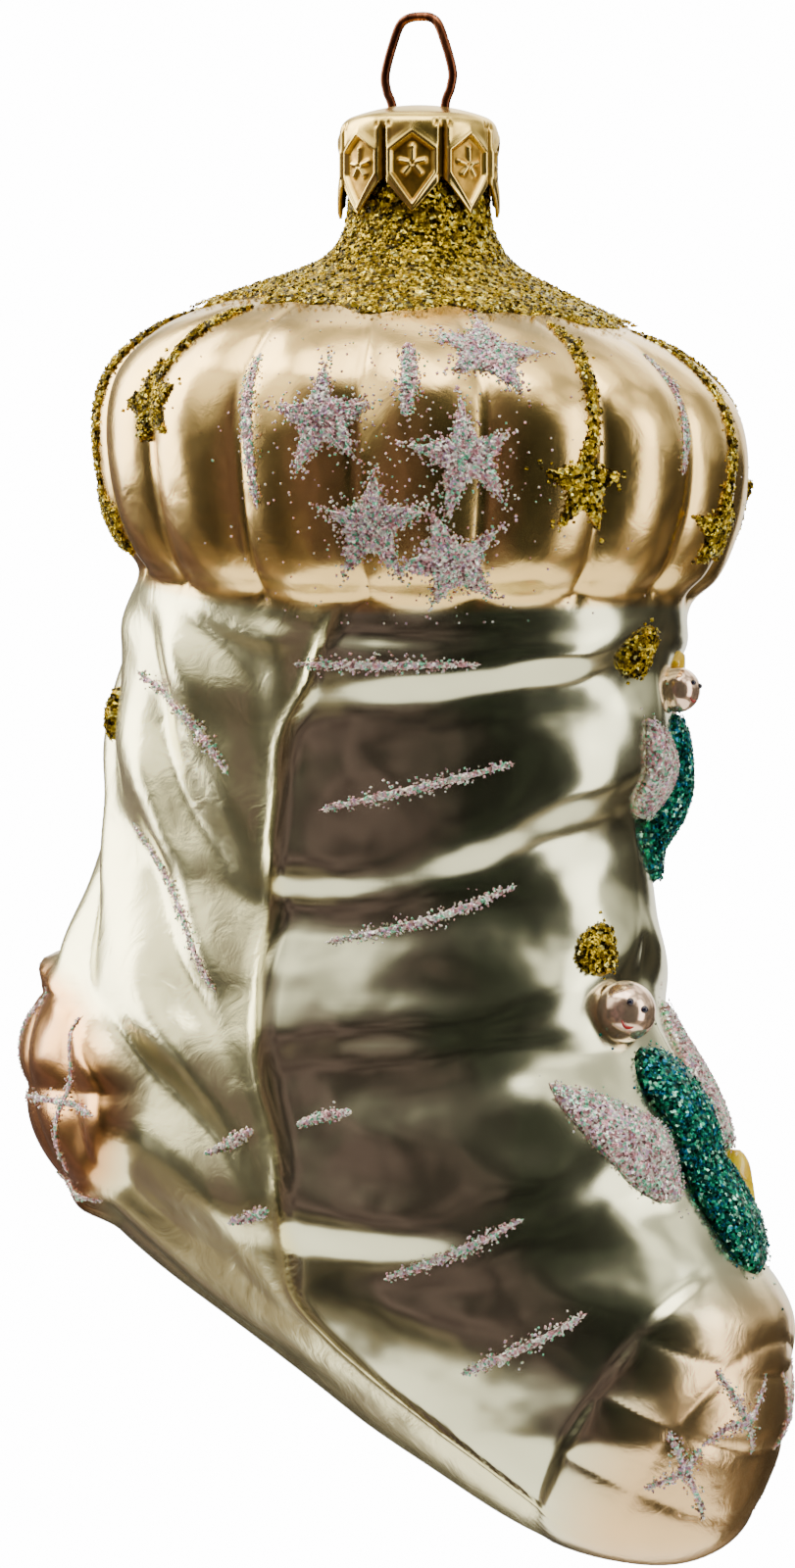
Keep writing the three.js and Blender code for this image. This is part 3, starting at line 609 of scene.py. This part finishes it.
def angel_head(name, angel):
    """A ball with two dots for eyes and a curved stroke for the mouth."""
    turn = math.radians(angel["turn"])
    angle, depth = spread_on_glass(angel, 0, HEAD_UP)
    radius = angel["head"]
    centre = Vector(on_glass(angle, depth, radius * HEAD_OUT))
    forward = Vector(outward(angle, depth))
    forward = (Matrix.Rotation(-FACE_TURN, 3, "Z") @ Vector((forward.x, forward.y, 0))).normalized()
    lean = Matrix.Rotation(-turn - FACE_ROLL, 3, forward)
    left, above = lean @ Vector((0, 0, 1)).cross(forward), lean @ Vector((0, 0, 1))

    def on_face(sideways, upward):
        ahead = forward * math.cos(sideways) * math.cos(upward)
        return centre + (ahead + left * math.sin(sideways) * math.cos(upward) + above * math.sin(upward)) * radius

    bm = bmesh.new()
    bmesh.ops.create_uvsphere(bm, u_segments=48, v_segments=32, radius=radius * MM,
                              matrix=Matrix.Translation(centre * MM))
    finish_piece(f"{name}_head", bm, skin_look)
    bm = bmesh.new()
    for side in (-1, 1):
        bmesh.ops.create_uvsphere(bm, u_segments=16, v_segments=10, radius=EYE_WIDE * radius * MM,
                                  matrix=Matrix.Translation(on_face(side * EYE_OUT, EYE_UP) * MM))
    finish_piece(f"{name}_eyes", bm, eye_look)

    def lay(i, j):
        points = []
        for share, turned in zip(i / SMILE_STEPS, j / SMILE_SIDES * 2 * math.pi):
            off_middle = share * 2 - 1
            middle = on_face(off_middle * SMILE_WIDE, -SMILE_DOWN - SMILE_BOW * (1 - off_middle ** 2))
            fat = SMILE_FAT * radius * math.sqrt(math.sin(math.pi * share)) if 0 < share < 1 else 0
            out = (middle - centre).normalized()
            points.append(middle + (out * math.sin(turned) + above * math.cos(turned)) * fat)
        return np.array(points)

    finish_piece(f"{name}_mouth", sheet_of(SMILE_STEPS, SMILE_SIDES, lay), mouth_look)


for name, angel in (("lower_angel", LOWER_ANGEL), ("upper_angel", UPPER_ANGEL)):
    angel_bump(f"{name}_body", angel, DRESS, DRESS_HIGH * angel["size"], body_look)
    angel_bump(f"{name}_near_feathers", angel, NEAR_WING, WING_HIGH, body_look)
    angel_bump(f"{name}_far_feathers", angel, FAR_WING, WING_HIGH, body_look)
    angel_head(name, angel)
angel_bump("lower_angel_lantern", LOWER_ANGEL, LANTERN, LANTERN_HIGH, yellow_look)
angel_bump("upper_angel_hair", UPPER_ANGEL, HAIR, HAIR_HIGH, yellow_look)


# The gold collar: glue brushed round the neck and the shoulder, from under the cap's petals down
# to a gently waving edge on the cuff, and strewn with gold glitter. Flat flakes stick up from it.
GOLD = [(0.0, paint(60, 48, 5)), (0.25, paint(136, 112, 12)), (0.5, paint(198, 168, 30)),
        (0.74, paint(244, 216, 66)), (0.92, paint(255, 246, 150))]
COAT, GOLD_FLAKE, COLLAR_FLAKES, FLAKES_APART = 0.42, 0.40, 9000, 8.0
COLLAR_START, COLLAR_END, COLLAR_COLUMNS, COLLAR_ROWS = 6.8, 18.5, 240, 44


def glitter(name, mix, scale, tilt, metal=0.85):
    """Cells of glitter: each has its own tone and leans its own way."""
    look, tree, place = start_look(name)
    cells = add_node(tree, "ShaderNodeTexVoronoi", {"Vector": place, "Scale": scale}).outputs["Color"]
    parts = add_node(tree, "ShaderNodeSeparateColor", {"Color": cells})
    centred = vector_math(tree, "SUBTRACT", cells, (0.5, 0.5, 0.5))
    lean = add_node(tree, "ShaderNodeVectorMath", {0: centred, "Scale": tilt}, operation="SCALE").outputs[0]
    shape = add_node(tree, "ShaderNodeNewGeometry")
    leaning = vector_math(tree, "NORMALIZE", vector_math(tree, "ADD", shape.outputs["Normal"], lean))
    surface(tree, {
        "Base Color": ramp(tree, parts.outputs["Red"], mix, "CONSTANT"), "Metallic": metal,
        "Roughness": 0.28, "Normal": leaning})
    return look


gold_look = glitter("gold_glitter", GOLD, 3000, 1.5)


def pour_into(bm, part):
    """Adds all of another bmesh to bm, and frees it."""
    mesh = bpy.data.meshes.new("part")
    part.to_mesh(mesh)
    part.free()
    bm.from_mesh(mesh)
    bpy.data.meshes.remove(mesh)
def strew(bm, spots, normals, wide, tilt, chance):
    """Adds a flat square flake at each spot, tipped at random from its normal."""
    flakes = bmesh.new()
    bmesh.ops.create_cone(flakes, cap_ends=True, segments=4, radius1=wide / 2, radius2=wide / 2, depth=wide * 0.1)
    corners = np.array([vert.co[:] for vert in flakes.verts])
    count = len(spots)
    corner = flakes.verts.layers.int.new("corner")
    for index, vert in enumerate(flakes.verts):
        vert[corner] = index
    made = 1
    while made < count:
        copies = bmesh.ops.duplicate(flakes, geom=flakes.verts[:] + flakes.edges[:] + flakes.faces[:])["geom"]
        moved = [part for part in copies if isinstance(part, bmesh.types.BMVert)]
        bmesh.ops.translate(flakes, verts=moved, vec=(made * FLAKES_APART, 0, 0))
        made *= 2
    spare = [vert for vert in flakes.verts if round(vert.co.x / FLAKES_APART) >= count]
    bmesh.ops.delete(flakes, geom=spare, context="VERTS")
    upright = unit(normals + chance.normal(0, tilt, normals.shape))
    side = unit(np.cross(upright, chance.normal(0, 1, normals.shape)))
    frames = np.stack([side, np.cross(upright, side), upright], axis=1)
    sizes = chance.uniform(0.6, 1.15, count)[:, None, None]
    points = (spots[:, None] + np.einsum("ck,nkd->ncd", corners, frames) * sizes) * MM
    for vert in flakes.verts:
        vert.co = points[round(vert.co.x / FLAKES_APART), vert[corner]]
    flakes.verts.layers.int.remove(corner)
    pour_into(bm, flakes)


def collar_edge(angle):
    turn = np.radians(angle)
    return COLLAR_END + 0.35 * np.sin(5 * turn + 1) + 0.25 * np.sin(11 * turn) + 0.15 * np.sin(23 * turn + 2)


def collar_rows(i, j):
    angle = i * 360 / COLLAR_COLUMNS
    share = 1 - np.abs(j - COLLAR_ROWS) / COLLAR_ROWS
    depth = COLLAR_START + (collar_edge(angle) - COLLAR_START) * share
    lumps = 0.07 * np.sin(i * np.pi * 0.6 + j * 2.3) + 0.05 * np.sin(i * np.pi * 1.1 - j * 1.3)
    lift = np.where(j > COLLAR_ROWS, (COAT + lumps) * ease(1 - share, 0, 0.04), -0.05)
    return on_glass(angle, depth, np.where(j % (2 * COLLAR_ROWS) == 0, 0, lift))


chance = np.random.default_rng(5)
bm = sheet_of(COLLAR_COLUMNS, 2 * COLLAR_ROWS, collar_rows)
angles = chance.uniform(0, 360, COLLAR_FLAKES)
share = chance.uniform(0, 1, COLLAR_FLAKES) ** 0.62
depths = COLLAR_START + (collar_edge(angles) + 0.25 - COLLAR_START) * share
strew(bm, on_glass(angles, depths, COAT + chance.uniform(-0.05, 0.12, COLLAR_FLAKES)), outward(angles, depths),
      GOLD_FLAKE, 0.55, chance)
finish_piece("collar_of_gold_glitter", bm, gold_look, nodes=["neck_glitter_collar"])


# Gold stars squeezed on by hand as blobs of glue, each at the end of a trail that runs down from
# the collar, and four gold drops: one above each angel and two towards the heel.
STAR_WIDE, TRAIL_WIDE = 8.6, 1.5
GOLD_STARS = [(34, 33, 28), (-4, 36, -9), (120, 28, 111), (150, 38, 146), (212, 31, 206), (240, 37, 234),
              (326, 33, 332)]
STAR_FLAKES, TRAIL_FLAKES, DROP_FLAKES = 420, 300, 260
DROPS = [(9, 47.5, -20), (18, 74.5, -25), (150, 54, 10), (210, 54, -10)]
DROP_WIDE, DROP_TALL, DROP_HIGH = 3.6, 5.2, 0.9


def star(wide, chance, ragged=0.1):
    """A five-armed star with arms of uneven length and direction."""
    corners = []
    for index in range(10):
        far = (0.46 if index % 2 else 1) * wide / 2 * chance.uniform(1 - ragged, 1 + ragged)
        around = index * math.pi / 5 + chance.uniform(-ragged, ragged) * 0.6
        corners.append((-math.sin(around) * far, math.cos(around) * far))
    return corners


def drop(wide, tall):
    around = np.linspace(0, 2 * math.pi, 24, endpoint=False)
    return list(zip(-np.sin(around) * (1 - 0.35 * np.cos(around)) * wide / 2, np.cos(around) * tall / 2))


def ragged_ring(corners, count, rounding, rough, chance):
    ring = ring_of(corners, count, rounding)
    heart = ring.mean(axis=0)
    return ring + unit(ring - heart) * chance.normal(0, rough, count)[:, None]


def glue_edge(share):
    """Height, as a share, of glue that is level in the middle and rounded at its edge."""
    return np.sqrt(np.clip(1 - share ** 6, 0, 1))


def glue_patch(place, ring, under, thick, chance, rings=10):
    """Glue inside an outline, on a dome or on the bare glass, with a rounded edge."""
    lumps = chance.normal(0, 0.05, 4096)

    def over(share):
        lump = lumps[(np.arange(len(share)) * 7) % 4096] * (share < 0.95) * (share > 0.05)
        return under(share) + (thick + lump) * glue_edge(share)

    return patch(place, ring, rings, lambda share: under(share) - 0.08, over)


def strew_patch(bm, place, ring, high, count, wide, stray, chance):
    """Flakes all over a patch, and a few loose ones around it."""
    heart = ring.mean(axis=0)
    corner = ring[chance.integers(0, len(ring), count)]
    share = np.sqrt(chance.uniform(0, 1, count))
    away = chance.uniform(0, 1, count) < stray
    share = np.where(away, 1 + np.abs(chance.normal(0, 0.22, count)), share)
    spots = heart + (corner - heart) * share[:, None]
    angle, depth = spread_on_glass(place, spots[:, 0], spots[:, 1])
    lift = np.where(away, 0.06, high(np.minimum(share, 1)) + chance.uniform(-0.02, 0.08, count))
    strew(bm, on_glass(angle, depth, lift), outward(angle, depth), wide, np.where(away, 0.15, 0.5)[:, None], chance)


def beside_line(angle_at, depth_at, t):
    """Points on the glass along a line, with the directions across it and out of the glass."""
    angle, depth = angle_at(t), depth_at(t)
    out = outward(angle, depth)
    ahead = skin(angle_at(t + 0.01), depth_at(t + 0.01)) - skin(angle_at(t - 0.01), depth_at(t - 0.01))
    return skin(angle, depth), unit(np.cross(ahead, out)), out


def ribbon(line, wide, thick, steps, chance):
    """A rope of glue along a line of (angle, depth) places. Returns its mesh, the curves of its
    angle and its depth, and the place where both end."""
    last = len(line) - 1
    angle_at = through([(index, angle) for index, (angle, depth) in enumerate(line)])
    depth_at = through([(index, depth) for index, (angle, depth) in enumerate(line)])
    fat = 1 + 0.16 * np.sin(np.arange(steps + 1) * 1.3 + chance.uniform(0, 6)) + chance.normal(0, 0.07, steps + 1)
    around = 12

    def lay(i, j):
        point, across, out = beside_line(angle_at, depth_at, i / steps * last)
        taper = np.sqrt(np.clip(np.sin(np.pi * i / steps), 0, 1)) * fat[i.astype(int)]
        taper = np.where(i % steps == 0, 0, taper)
        turn = j / around * 2 * np.pi
        lift = np.where(np.sin(turn) > 0, np.sin(turn) * thick, np.sin(turn) * 0.12) * np.minimum(taper, 1)
        return point + across * (np.cos(turn) * wide / 2 * taper)[:, None] + out * lift[:, None]

    return sheet_of(steps, around, lay), angle_at, depth_at, last


def strew_ribbon(bm, angle_at, depth_at, last, wide, thick, count, flake, chance):
    """Flakes on a rope of glue, and fewer beside it."""
    t = chance.uniform(0.02, 0.98, count) * last
    point, across, out = beside_line(angle_at, depth_at, t)
    aside = chance.normal(0, 0.36, count)
    taper = np.sqrt(np.sin(np.pi * t / last))
    lift = thick * np.sqrt(np.clip(1 - (aside * 1.6) ** 2, 0.02, 1)) * taper + 0.03
    spots = point + across * (aside * wide * taper)[:, None] + out * lift[:, None]
    strew(bm, spots, out, flake, 0.45, chance)


for index, (angle, depth, start) in enumerate(GOLD_STARS):
    chance = np.random.default_rng(40 + index)
    place = {"angle": angle, "depth": depth, "turn": 6 * (index % 3)}
    ring = ragged_ring(star(STAR_WIDE, chance, 0.16), 150, 9, 0.09, chance)
    bm = glue_patch(place, ring, level(0.0), COAT, chance)
    strew_patch(bm, place, ring, lambda share: COAT * glue_edge(share), STAR_FLAKES, GOLD_FLAKE, 0.06, chance)
    line = [(start, COLLAR_END + 0.2), ((start + angle) / 2, (COLLAR_END + depth) / 2 - 2), (angle, depth - 1)]
    trail, *curves = ribbon(line, TRAIL_WIDE, COAT, 60, chance)
    strew_ribbon(trail, *curves, TRAIL_WIDE, COAT, TRAIL_FLAKES, GOLD_FLAKE, chance)
    pour_into(bm, trail)
    finish_piece(f"star_and_trail_{index + 1}", bm, gold_look, nodes=[f"gold_star_{index + 1}"])

for index, (angle, depth, turn) in enumerate(DROPS):
    chance = np.random.default_rng(60 + index)
    place = {"angle": angle, "depth": depth, "turn": turn}
    ring = ragged_ring(drop(DROP_WIDE, DROP_TALL), 90, 2, 0.04, chance)
    bm = glue_patch(place, ring, dome(DROP_HIGH), 0.3, chance)
    strew_patch(bm, place, ring, lambda share: dome(DROP_HIGH)(share) + 0.3, DROP_FLAKES, GOLD_FLAKE, 0.03, chance)
    finish_piece(f"drop_of_gold_{index + 1}", bm, gold_look, nodes=[f"gold_drop_{index + 1}"])


# White stars in a group on each side of the cuff, and white stripes on the cuff and along the
# leg's folds: a finer glitter that is clear with pink and green glints.
WHITE = [(0.0, paint(172, 134, 138)), (0.16, paint(240, 180, 196)), (0.36, paint(246, 236, 230)),
         (0.52, paint(134, 226, 192)), (0.66, paint(222, 188, 226)), (0.76, paint(255, 255, 255))]
white_look = glitter("white_glitter", WHITE, 4200, 1.4, 0.45)
WHITE_FLAKE, WHITE_STAR_WIDE, WHITE_STAR_THICK, WHITE_STAR_FLAKES = 0.3, 9.4, COAT * 0.8, 800
STRIPE_WIDE, STRIPE_THICK, STRIPE_FLAKES, SHORT_STRIPE = 1.9, COAT * 0.5, 300, 12
WHITE_STARS = [(81, 28.5, 8), (51, 22, -10), (56, 31, 12), (73, 36.5, 0), (58, 39, 18)]
CUFF_STRIPES = [
    [(96, 23), (96, 28.5), (94, 36)], [(66, 21.5), (66, 24.5), (66.5, 28)], [(8, 21), (8, 25), (12, 31.5)],
]
LEG_STRIPES = [
    [(88, 49.8), (70, 49.8), (50, 49.4)], [(80, 62.5), (60, 60.5), (41, 58.4)], [(76, 74), (56, 72), (37, 69)],
    [(101, 92.5), (94, 91.2), (90, 90.3)], [(82, 89.7), (77, 89), (72, 88.5)], [(104, 98.5), (98, 97.8), (94, 97.2)],
    [(84, 103), (66, 100.5), (50, 97.5)], [(84, 111), (66, 108.5), (49, 105.5)],
    [(136, 50.5), (114, 54), (100, 59.5)], [(132, 63.5), (110, 70.5), (95, 78.5)],
]

for side, name, stars, stripes in ((1, "near", 5, 3), (-1, "far", 4, 2)):
    for index, (angle, depth, turn) in enumerate(WHITE_STARS[:stars]):
        chance = np.random.default_rng(100 + 20 * side + index)
        place = {"angle": side * angle, "depth": depth, "turn": side * turn}
        ring = ragged_ring(star(WHITE_STAR_WIDE, chance, 0.2), 150, 4, 0.2, chance)
        bm = glue_patch(place, ring, level(0.0), WHITE_STAR_THICK, chance)
        strew_patch(bm, place, ring, lambda share: WHITE_STAR_THICK * glue_edge(share), WHITE_STAR_FLAKES,
                    WHITE_FLAKE, 0.25, chance)
        finish_piece(f"star_of_white_{name}_{index + 1}", bm, white_look,
                     nodes=[f"white_star_{name}_{index + 1}"])
    kinds = [("cuff_stripe", CUFF_STRIPES[:stripes], STRIPE_WIDE, 0.8),
             ("leg_stripe", LEG_STRIPES, STRIPE_WIDE * 0.7, 0.5)]
    for kind, lines, widest, glue_share in kinds:
        for index, line in enumerate(lines):
            chance = np.random.default_rng(200 + 50 * side + 15 * len(lines) + index)
            short = kind == "leg_stripe" and abs(line[0][0] - line[-1][0]) < SHORT_STRIPE
            wide = STRIPE_WIDE * 0.4 if short else widest
            mirrored = [(side * angle, depth) for angle, depth in line]
            bm, *curves = ribbon(mirrored, wide * glue_share, STRIPE_THICK, 70, chance)
            strew_ribbon(bm, *curves, wide, STRIPE_THICK, STRIPE_FLAKES, WHITE_FLAKE, chance)
            finish_piece(f"{kind}_of_white_{name}_{index + 1}", bm, white_look,
                         nodes=[f"{kind}_{name}_{index + 1}"])


# Thin lines of white glitter in the creases of the quilted heel and toe, on both sides, and loose
# flakes that stuck to the cuff's lacquer between the stars.
QUILT_LINES = [
    [(125, 80.7), (127, 86), (134.5, 90.4), (141, 95.1)], [(163, 88.5), (132.5, 88.5), (119.5, 89.5)],
    [(143, 78.4), (156.5, 82.1), (163, 88.5)], [(157, 95.3), (146.5, 96.8), (136.5, 97.4)],
    [(39.5, 115.7), (36, 118.9), (26.5, 123.9)], [(24, 110.4), (19, 112.8), (14, 115.3), (8.5, 118.2)],
    [(30, 117.2), (21, 115.5), (13, 115), (5, 111.1)], [(50.5, 120.9), (37, 119.4), (30, 117.2)],
]
LINE_WIDE, LINE_HIGH, LINE_FLAKES, LOOSE_FLAKES = 1.2, 0.16, 170, 420

for side, name in ((1, "near"), (-1, "far")):
    for index, line in enumerate(QUILT_LINES):
        chance = np.random.default_rng(400 + 20 * side + index)
        bm, *curves = ribbon([(side * angle, depth) for angle, depth in line], LINE_WIDE * 0.5, LINE_HIGH, 40, chance)
        strew_ribbon(bm, *curves, LINE_WIDE, LINE_HIGH, LINE_FLAKES, WHITE_FLAKE * 0.9, chance)
        finish_piece(f"quilt_line_{name}_{index + 1}", bm, white_look)
    chance = np.random.default_rng(450 + side)
    angles = chance.normal(66, 17, LOOSE_FLAKES) * side
    depths = np.clip(chance.normal(32, 6.5, LOOSE_FLAKES), 20, 44)
    bm = bmesh.new()
    spots = on_glass(angles, depths, np.full(LOOSE_FLAKES, 0.05))
    strew(bm, spots, outward(angles, depths), WHITE_FLAKE * 0.8, 0.12, chance)
    finish_piece(f"loose_flakes_{name}", bm, white_look)


# The angels' coats: glue brushed over the bumps in the glass and strewn with glitter, a thick teal
# coat over each dress and a fine white one over each wing.
TEAL = [(0.0, paint(5, 58, 56)), (0.28, paint(10, 108, 94)), (0.58, paint(30, 164, 128)),
        (0.76, paint(24, 112, 150)), (0.92, paint(170, 246, 222))]
teal_look = glitter("teal_glitter", TEAL, 3600, 1.4)
TEAL_FLAKE, DRESS_FLAKES, WING_FLAKE, WING_FLAKES = 0.32, 1500, 0.24, 1000


def angel_coat(name, node, angel, outline, high, look, count, flake, seed):
    chance = np.random.default_rng(seed)
    ring = ragged_ring(outline, 140, 4, 0.04, chance)
    bm = glue_patch(angel, ring, dome(high), COAT, chance, rings=16)
    strew_patch(bm, angel, ring, lambda share: dome(high)(share) + COAT, count, flake, 0.02, chance)
    finish_piece(name, bm, look, nodes=[node])


for seed, (name, angel) in enumerate((("lower_angel", LOWER_ANGEL), ("upper_angel", UPPER_ANGEL))):
    angel_coat(f"{name}_teal_coat", f"{name}_dress", angel, DRESS, DRESS_HIGH * angel["size"],
               teal_look, DRESS_FLAKES, TEAL_FLAKE, 300 + seed)
    for side, wing, wing_seed in (("near", NEAR_WING, 310), ("far", FAR_WING, 320)):
        angel_coat(f"{name}_{side}_wing_coat", f"{name}_{side}_wing", angel, wing, WING_HIGH,
                   white_look, WING_FLAKES, WING_FLAKE, wing_seed + seed)


# The crown cap: thin gold coloured metal, stamped. Its domed top has two holes for the wire, and
# its skirt is cut in eight pointed petals with a groove between them, each with a sunk shield.
CAP_WIDE, CAP_METAL, CAP_RISE, CAP_TOP, SHOULDER = 14.3, 0.28, 1.1, -0.35, 1.7
PETALS, PETAL_TURN, PETAL_CORNER, PETAL_TIP = 8, 65, 6.5, 9.7
GROOVE_DEEP, SHIELD_DEEP, RIM_HIGH = 0.5, 0.34, 0.12
SHIELD_TOP, SHIELD_SHOULDER, SHIELD_HIP, SHIELD_TIP, SHIELD_HALF = 2.55, 4.1, 6.2, 9.2, 2.15
FLOWER_DEPTH, FLOWER_ARMS = 5.4, (90, 12, 168, -50, 230)
HOLE_APART, WIRE_THICK, HOLE_PLAY = 5.4, 0.84, 0.26
CAP_COLUMNS, DOME_ROWS, ROUND_ROWS, WALL_ROWS = 320, 16, 8, 72
DOME_LEAN, SHADE_INSIDE = math.radians(20), 0.7

cap_look, tree, place = start_look("stamped_gold")
# Painted shade: the colour darkens in the stamped recesses and over the cap's whole inside, as kept on its points. A
# random grime tone is added to it.
recess_shade = add_node(tree, "ShaderNodeAttribute", attribute_name="recess_shade").outputs["Fac"]
grime = number_math(tree, "MULTIPLY_ADD", noise(tree, place, 900.0, 3.0), 0.5, -0.25)
grime_and_shade = number_math(tree, "ADD", recess_shade, grime)
surface(tree, {
    "Base Color": ramp(tree, grime_and_shade, [
        (0.14, paint(254, 220, 126)), (0.6, paint(212, 168, 74)), (0.94, paint(60, 44, 16))]),
    "Metallic": 1.0, "Roughness": stretch(tree, grime_and_shade, after=(0.24, 0.5))})


def stamping(across, depth):
    """Height of the stamped pattern and how deep in shade it lies. across is in millimetres from
    the petal's middle line."""
    far = np.abs(across)
    half = math.pi * CAP_WIDE / PETALS / 2
    gable = (depth - SHIELD_TOP - far * (SHIELD_SHOULDER - SHIELD_TOP) / SHIELD_HALF) * 0.8
    point = (SHIELD_TIP - depth - far * (SHIELD_TIP - SHIELD_HIP) / SHIELD_HALF) * 0.62
    inside = np.minimum(np.minimum(gable, point), SHIELD_HALF - far)
    sunk = ease(inside, 0.12, 0.42)
    facet = ease(-gable, 0.25, 0.7) * ease(depth, 1.3, 2.2) * ease(half - far, 0.4, 0.9) * 0.5
    groove = 1 - ease(half - far, 0.12, 0.5)
    up, flower = FLOWER_DEPTH - depth, 0 * depth
    for arm in FLOWER_ARMS:
        c, s = math.cos(math.radians(arm)), math.sin(math.radians(arm))
        along, aside = across * c + up * s, -across * s + up * c
        flower = np.maximum(flower, ridge(aside, 0.24) * ridge(np.clip(np.abs(along - 0.75) - 0.45, 0, 9), 0.16))
    flower = np.maximum(flower, ridge(np.hypot(across, up - 1.45), 0.3))
    pits = ridge(np.hypot(far - half + 0.62, depth - 1.75), 0.17)
    height = (-SHIELD_DEEP * sunk + 0.3 * flower * sunk + RIM_HIGH * ridge(inside, 0.16) - 0.16 * facet
              - GROOVE_DEEP * groove * ease(depth, 1.2, 2.4) - 0.35 * pits)
    shade = np.clip(sunk * (1 - flower) * 0.75 + facet * 0.5 + groove * ease(depth, 1.2, 2.4) + pits, 0, 1)
    return height, shade


def cap_rows(i, j):
    """Rows run from the top's middle down the outside to the petals' tips and back up the inside."""
    total = DOME_ROWS + ROUND_ROWS + WALL_ROWS
    inner = j > total
    row = np.where(inner, 2 * total + 1 - j, j)
    angle = PETAL_TURN + i * 360 / CAP_COLUMNS
    wide = CAP_WIDE / 2
    half_petal = 180 / PETALS
    aside = ((i * 360 / CAP_COLUMNS + half_petal) % (2 * half_petal)) - half_petal
    dome_end = wide - SHOULDER + SHOULDER * math.sin(DOME_LEAN)
    in_dome = np.clip(row / DOME_ROWS, 0, 1)
    in_round = DOME_LEAN + (math.pi / 2 - DOME_LEAN) * np.clip((row - DOME_ROWS) / ROUND_ROWS, 0, 1)
    in_wall = np.clip((row - DOME_ROWS - ROUND_ROWS) / WALL_ROWS, 0, 1)
    wall_top = CAP_TOP + CAP_RISE + SHOULDER * math.cos(DOME_LEAN)
    bottom = PETAL_TIP - (PETAL_TIP - PETAL_CORNER) * np.abs(aside) / half_petal
    radius = np.where(row <= DOME_ROWS, in_dome * dome_end, wide - SHOULDER + SHOULDER * np.sin(in_round))
    depth = np.where(row <= DOME_ROWS, CAP_TOP + CAP_RISE * in_dome ** 2, wall_top - SHOULDER * np.cos(in_round))
    depth = depth + (bottom - wall_top) * in_wall
    height, shade = stamping(np.radians(aside) * wide, depth)
    height = height * (row > DOME_ROWS)
    lean = np.where(row <= DOME_ROWS, in_dome * DOME_LEAN, in_round)
    off = np.where(inner, -CAP_METAL, 0) + height
    radius = np.maximum(radius + off * np.sin(lean), 0)
    depth = depth - off * np.cos(lean)
    turn = np.radians(angle)
    points = np.stack([radius * np.cos(turn), -radius * np.sin(turn), -depth - LOOP_HIGH], axis=-1)
    # The kept value is painted shade: the stamping's recesses on the outside, and the inside darker all over.
    return points, (np.where(row > DOME_ROWS, shade, 0) + SHADE_INSIDE * inner,)


def punch_holes(bm):
    """Opens the two round holes for the wire through both faces of the dome and joins their rims."""
    wide = (WIRE_THICK / 2 + HOLE_PLAY) * MM
    for side in (-1, 1):
        hole = Vector((side * HOLE_APART / 2 * MM, 0))
        cut = [face for face in bm.faces if (face.calc_center_median().xy - hole).length < wide
               and face.calc_center_median().z > -(LOOP_HIGH + 2) * MM]
        bmesh.ops.delete(bm, geom=cut, context="FACES")
        rim = [edge for edge in bm.edges if edge.is_boundary]
        for vert in {vert for edge in rim for vert in edge.verts}:
            vert.co.xy = hole + (vert.co.xy - hole).normalized() * wide
        bmesh.ops.bridge_loops(bm, edges=rim)


bm = sheet_of(CAP_COLUMNS, 2 * (DOME_ROWS + ROUND_ROWS + WALL_ROWS) + 1, cap_rows, keep=("recess_shade",))
punch_holes(bm)
bmesh.ops.recalc_face_normals(bm, faces=bm.faces)
finish_piece("petalled_cap", bm, cap_look, body="cap", nodes=["crown_cap"])


# The hanging loop: one piece of dark copper coloured spring wire, bent into a loop above the cap.
# Its two legs go down through the cap's holes and spring apart inside the neck.
LOOP_WIDE, LEG_SPREAD, LEG_LONG, WIRE_SIDES, WIRE_STEPS = 6.9, 8, 15, 20, 180
HALF_LOOP = [(LEG_SPREAD / 2, -LEG_LONG), (LEG_SPREAD / 2 - 0.1, -LEG_LONG * 0.6),
             (LEG_SPREAD / 2 - 0.7, -LEG_LONG * 0.25), (HOLE_APART / 2, 0),
             (LOOP_WIDE / 2 - 0.15, LOOP_HIGH * 0.24), (LOOP_WIDE / 2, LOOP_HIGH * 0.42),
             (LOOP_WIDE / 2 - 0.75, LOOP_HIGH * 0.74), (LOOP_WIDE / 4, LOOP_HIGH + WIRE_THICK / 2 - 0.45)]

wire_look, tree, place = start_look("copper_wire")
drawn = add_node(tree, "ShaderNodeMapping", {"Vector": place, "Scale": (1500, 1500, 300)}).outputs[0]
tone = ramp(tree, noise(tree, drawn, 1.0), [
    (0.3, paint(62, 36, 26)), (0.55, paint(112, 66, 46)), (0.75, paint(176, 112, 78))])
surface(tree, {"Base Color": tone, "Metallic": 1.0, "Roughness": 0.32})

left = [(-x, z) for x, z in HALF_LOOP]
wire_line = left + [(0, LOOP_HIGH + WIRE_THICK / 2)] + HALF_LOOP[::-1]
wire_x = through([(index, x) for index, (x, z) in enumerate(wire_line)])
wire_z = through([(index, z) for index, (x, z) in enumerate(wire_line)])


def wire_rows(i, j):
    t = i / WIRE_STEPS * (len(wire_line) - 1)
    ahead_x, ahead_z = wire_x(t + 0.01) - wire_x(t - 0.01), wire_z(t + 0.01) - wire_z(t - 0.01)
    long = np.hypot(ahead_x, ahead_z)
    turn = j / WIRE_SIDES * 2 * np.pi
    half = np.where(i % WIRE_STEPS == 0, 0, WIRE_THICK / 2)
    t = np.clip(i, 1, WIRE_STEPS - 1) / WIRE_STEPS * (len(wire_line) - 1)
    x = wire_x(t) - ahead_z / long * np.cos(turn) * half
    z = wire_z(t) + ahead_x / long * np.cos(turn) * half - LOOP_HIGH
    return np.stack([x, np.sin(turn) * half, z], axis=-1)


bm = sheet_of(WIRE_STEPS, WIRE_SIDES, wire_rows)
finish_piece("bent_wire_loop", bm, wire_look, body="hanger", nodes=["spring_hanger"])
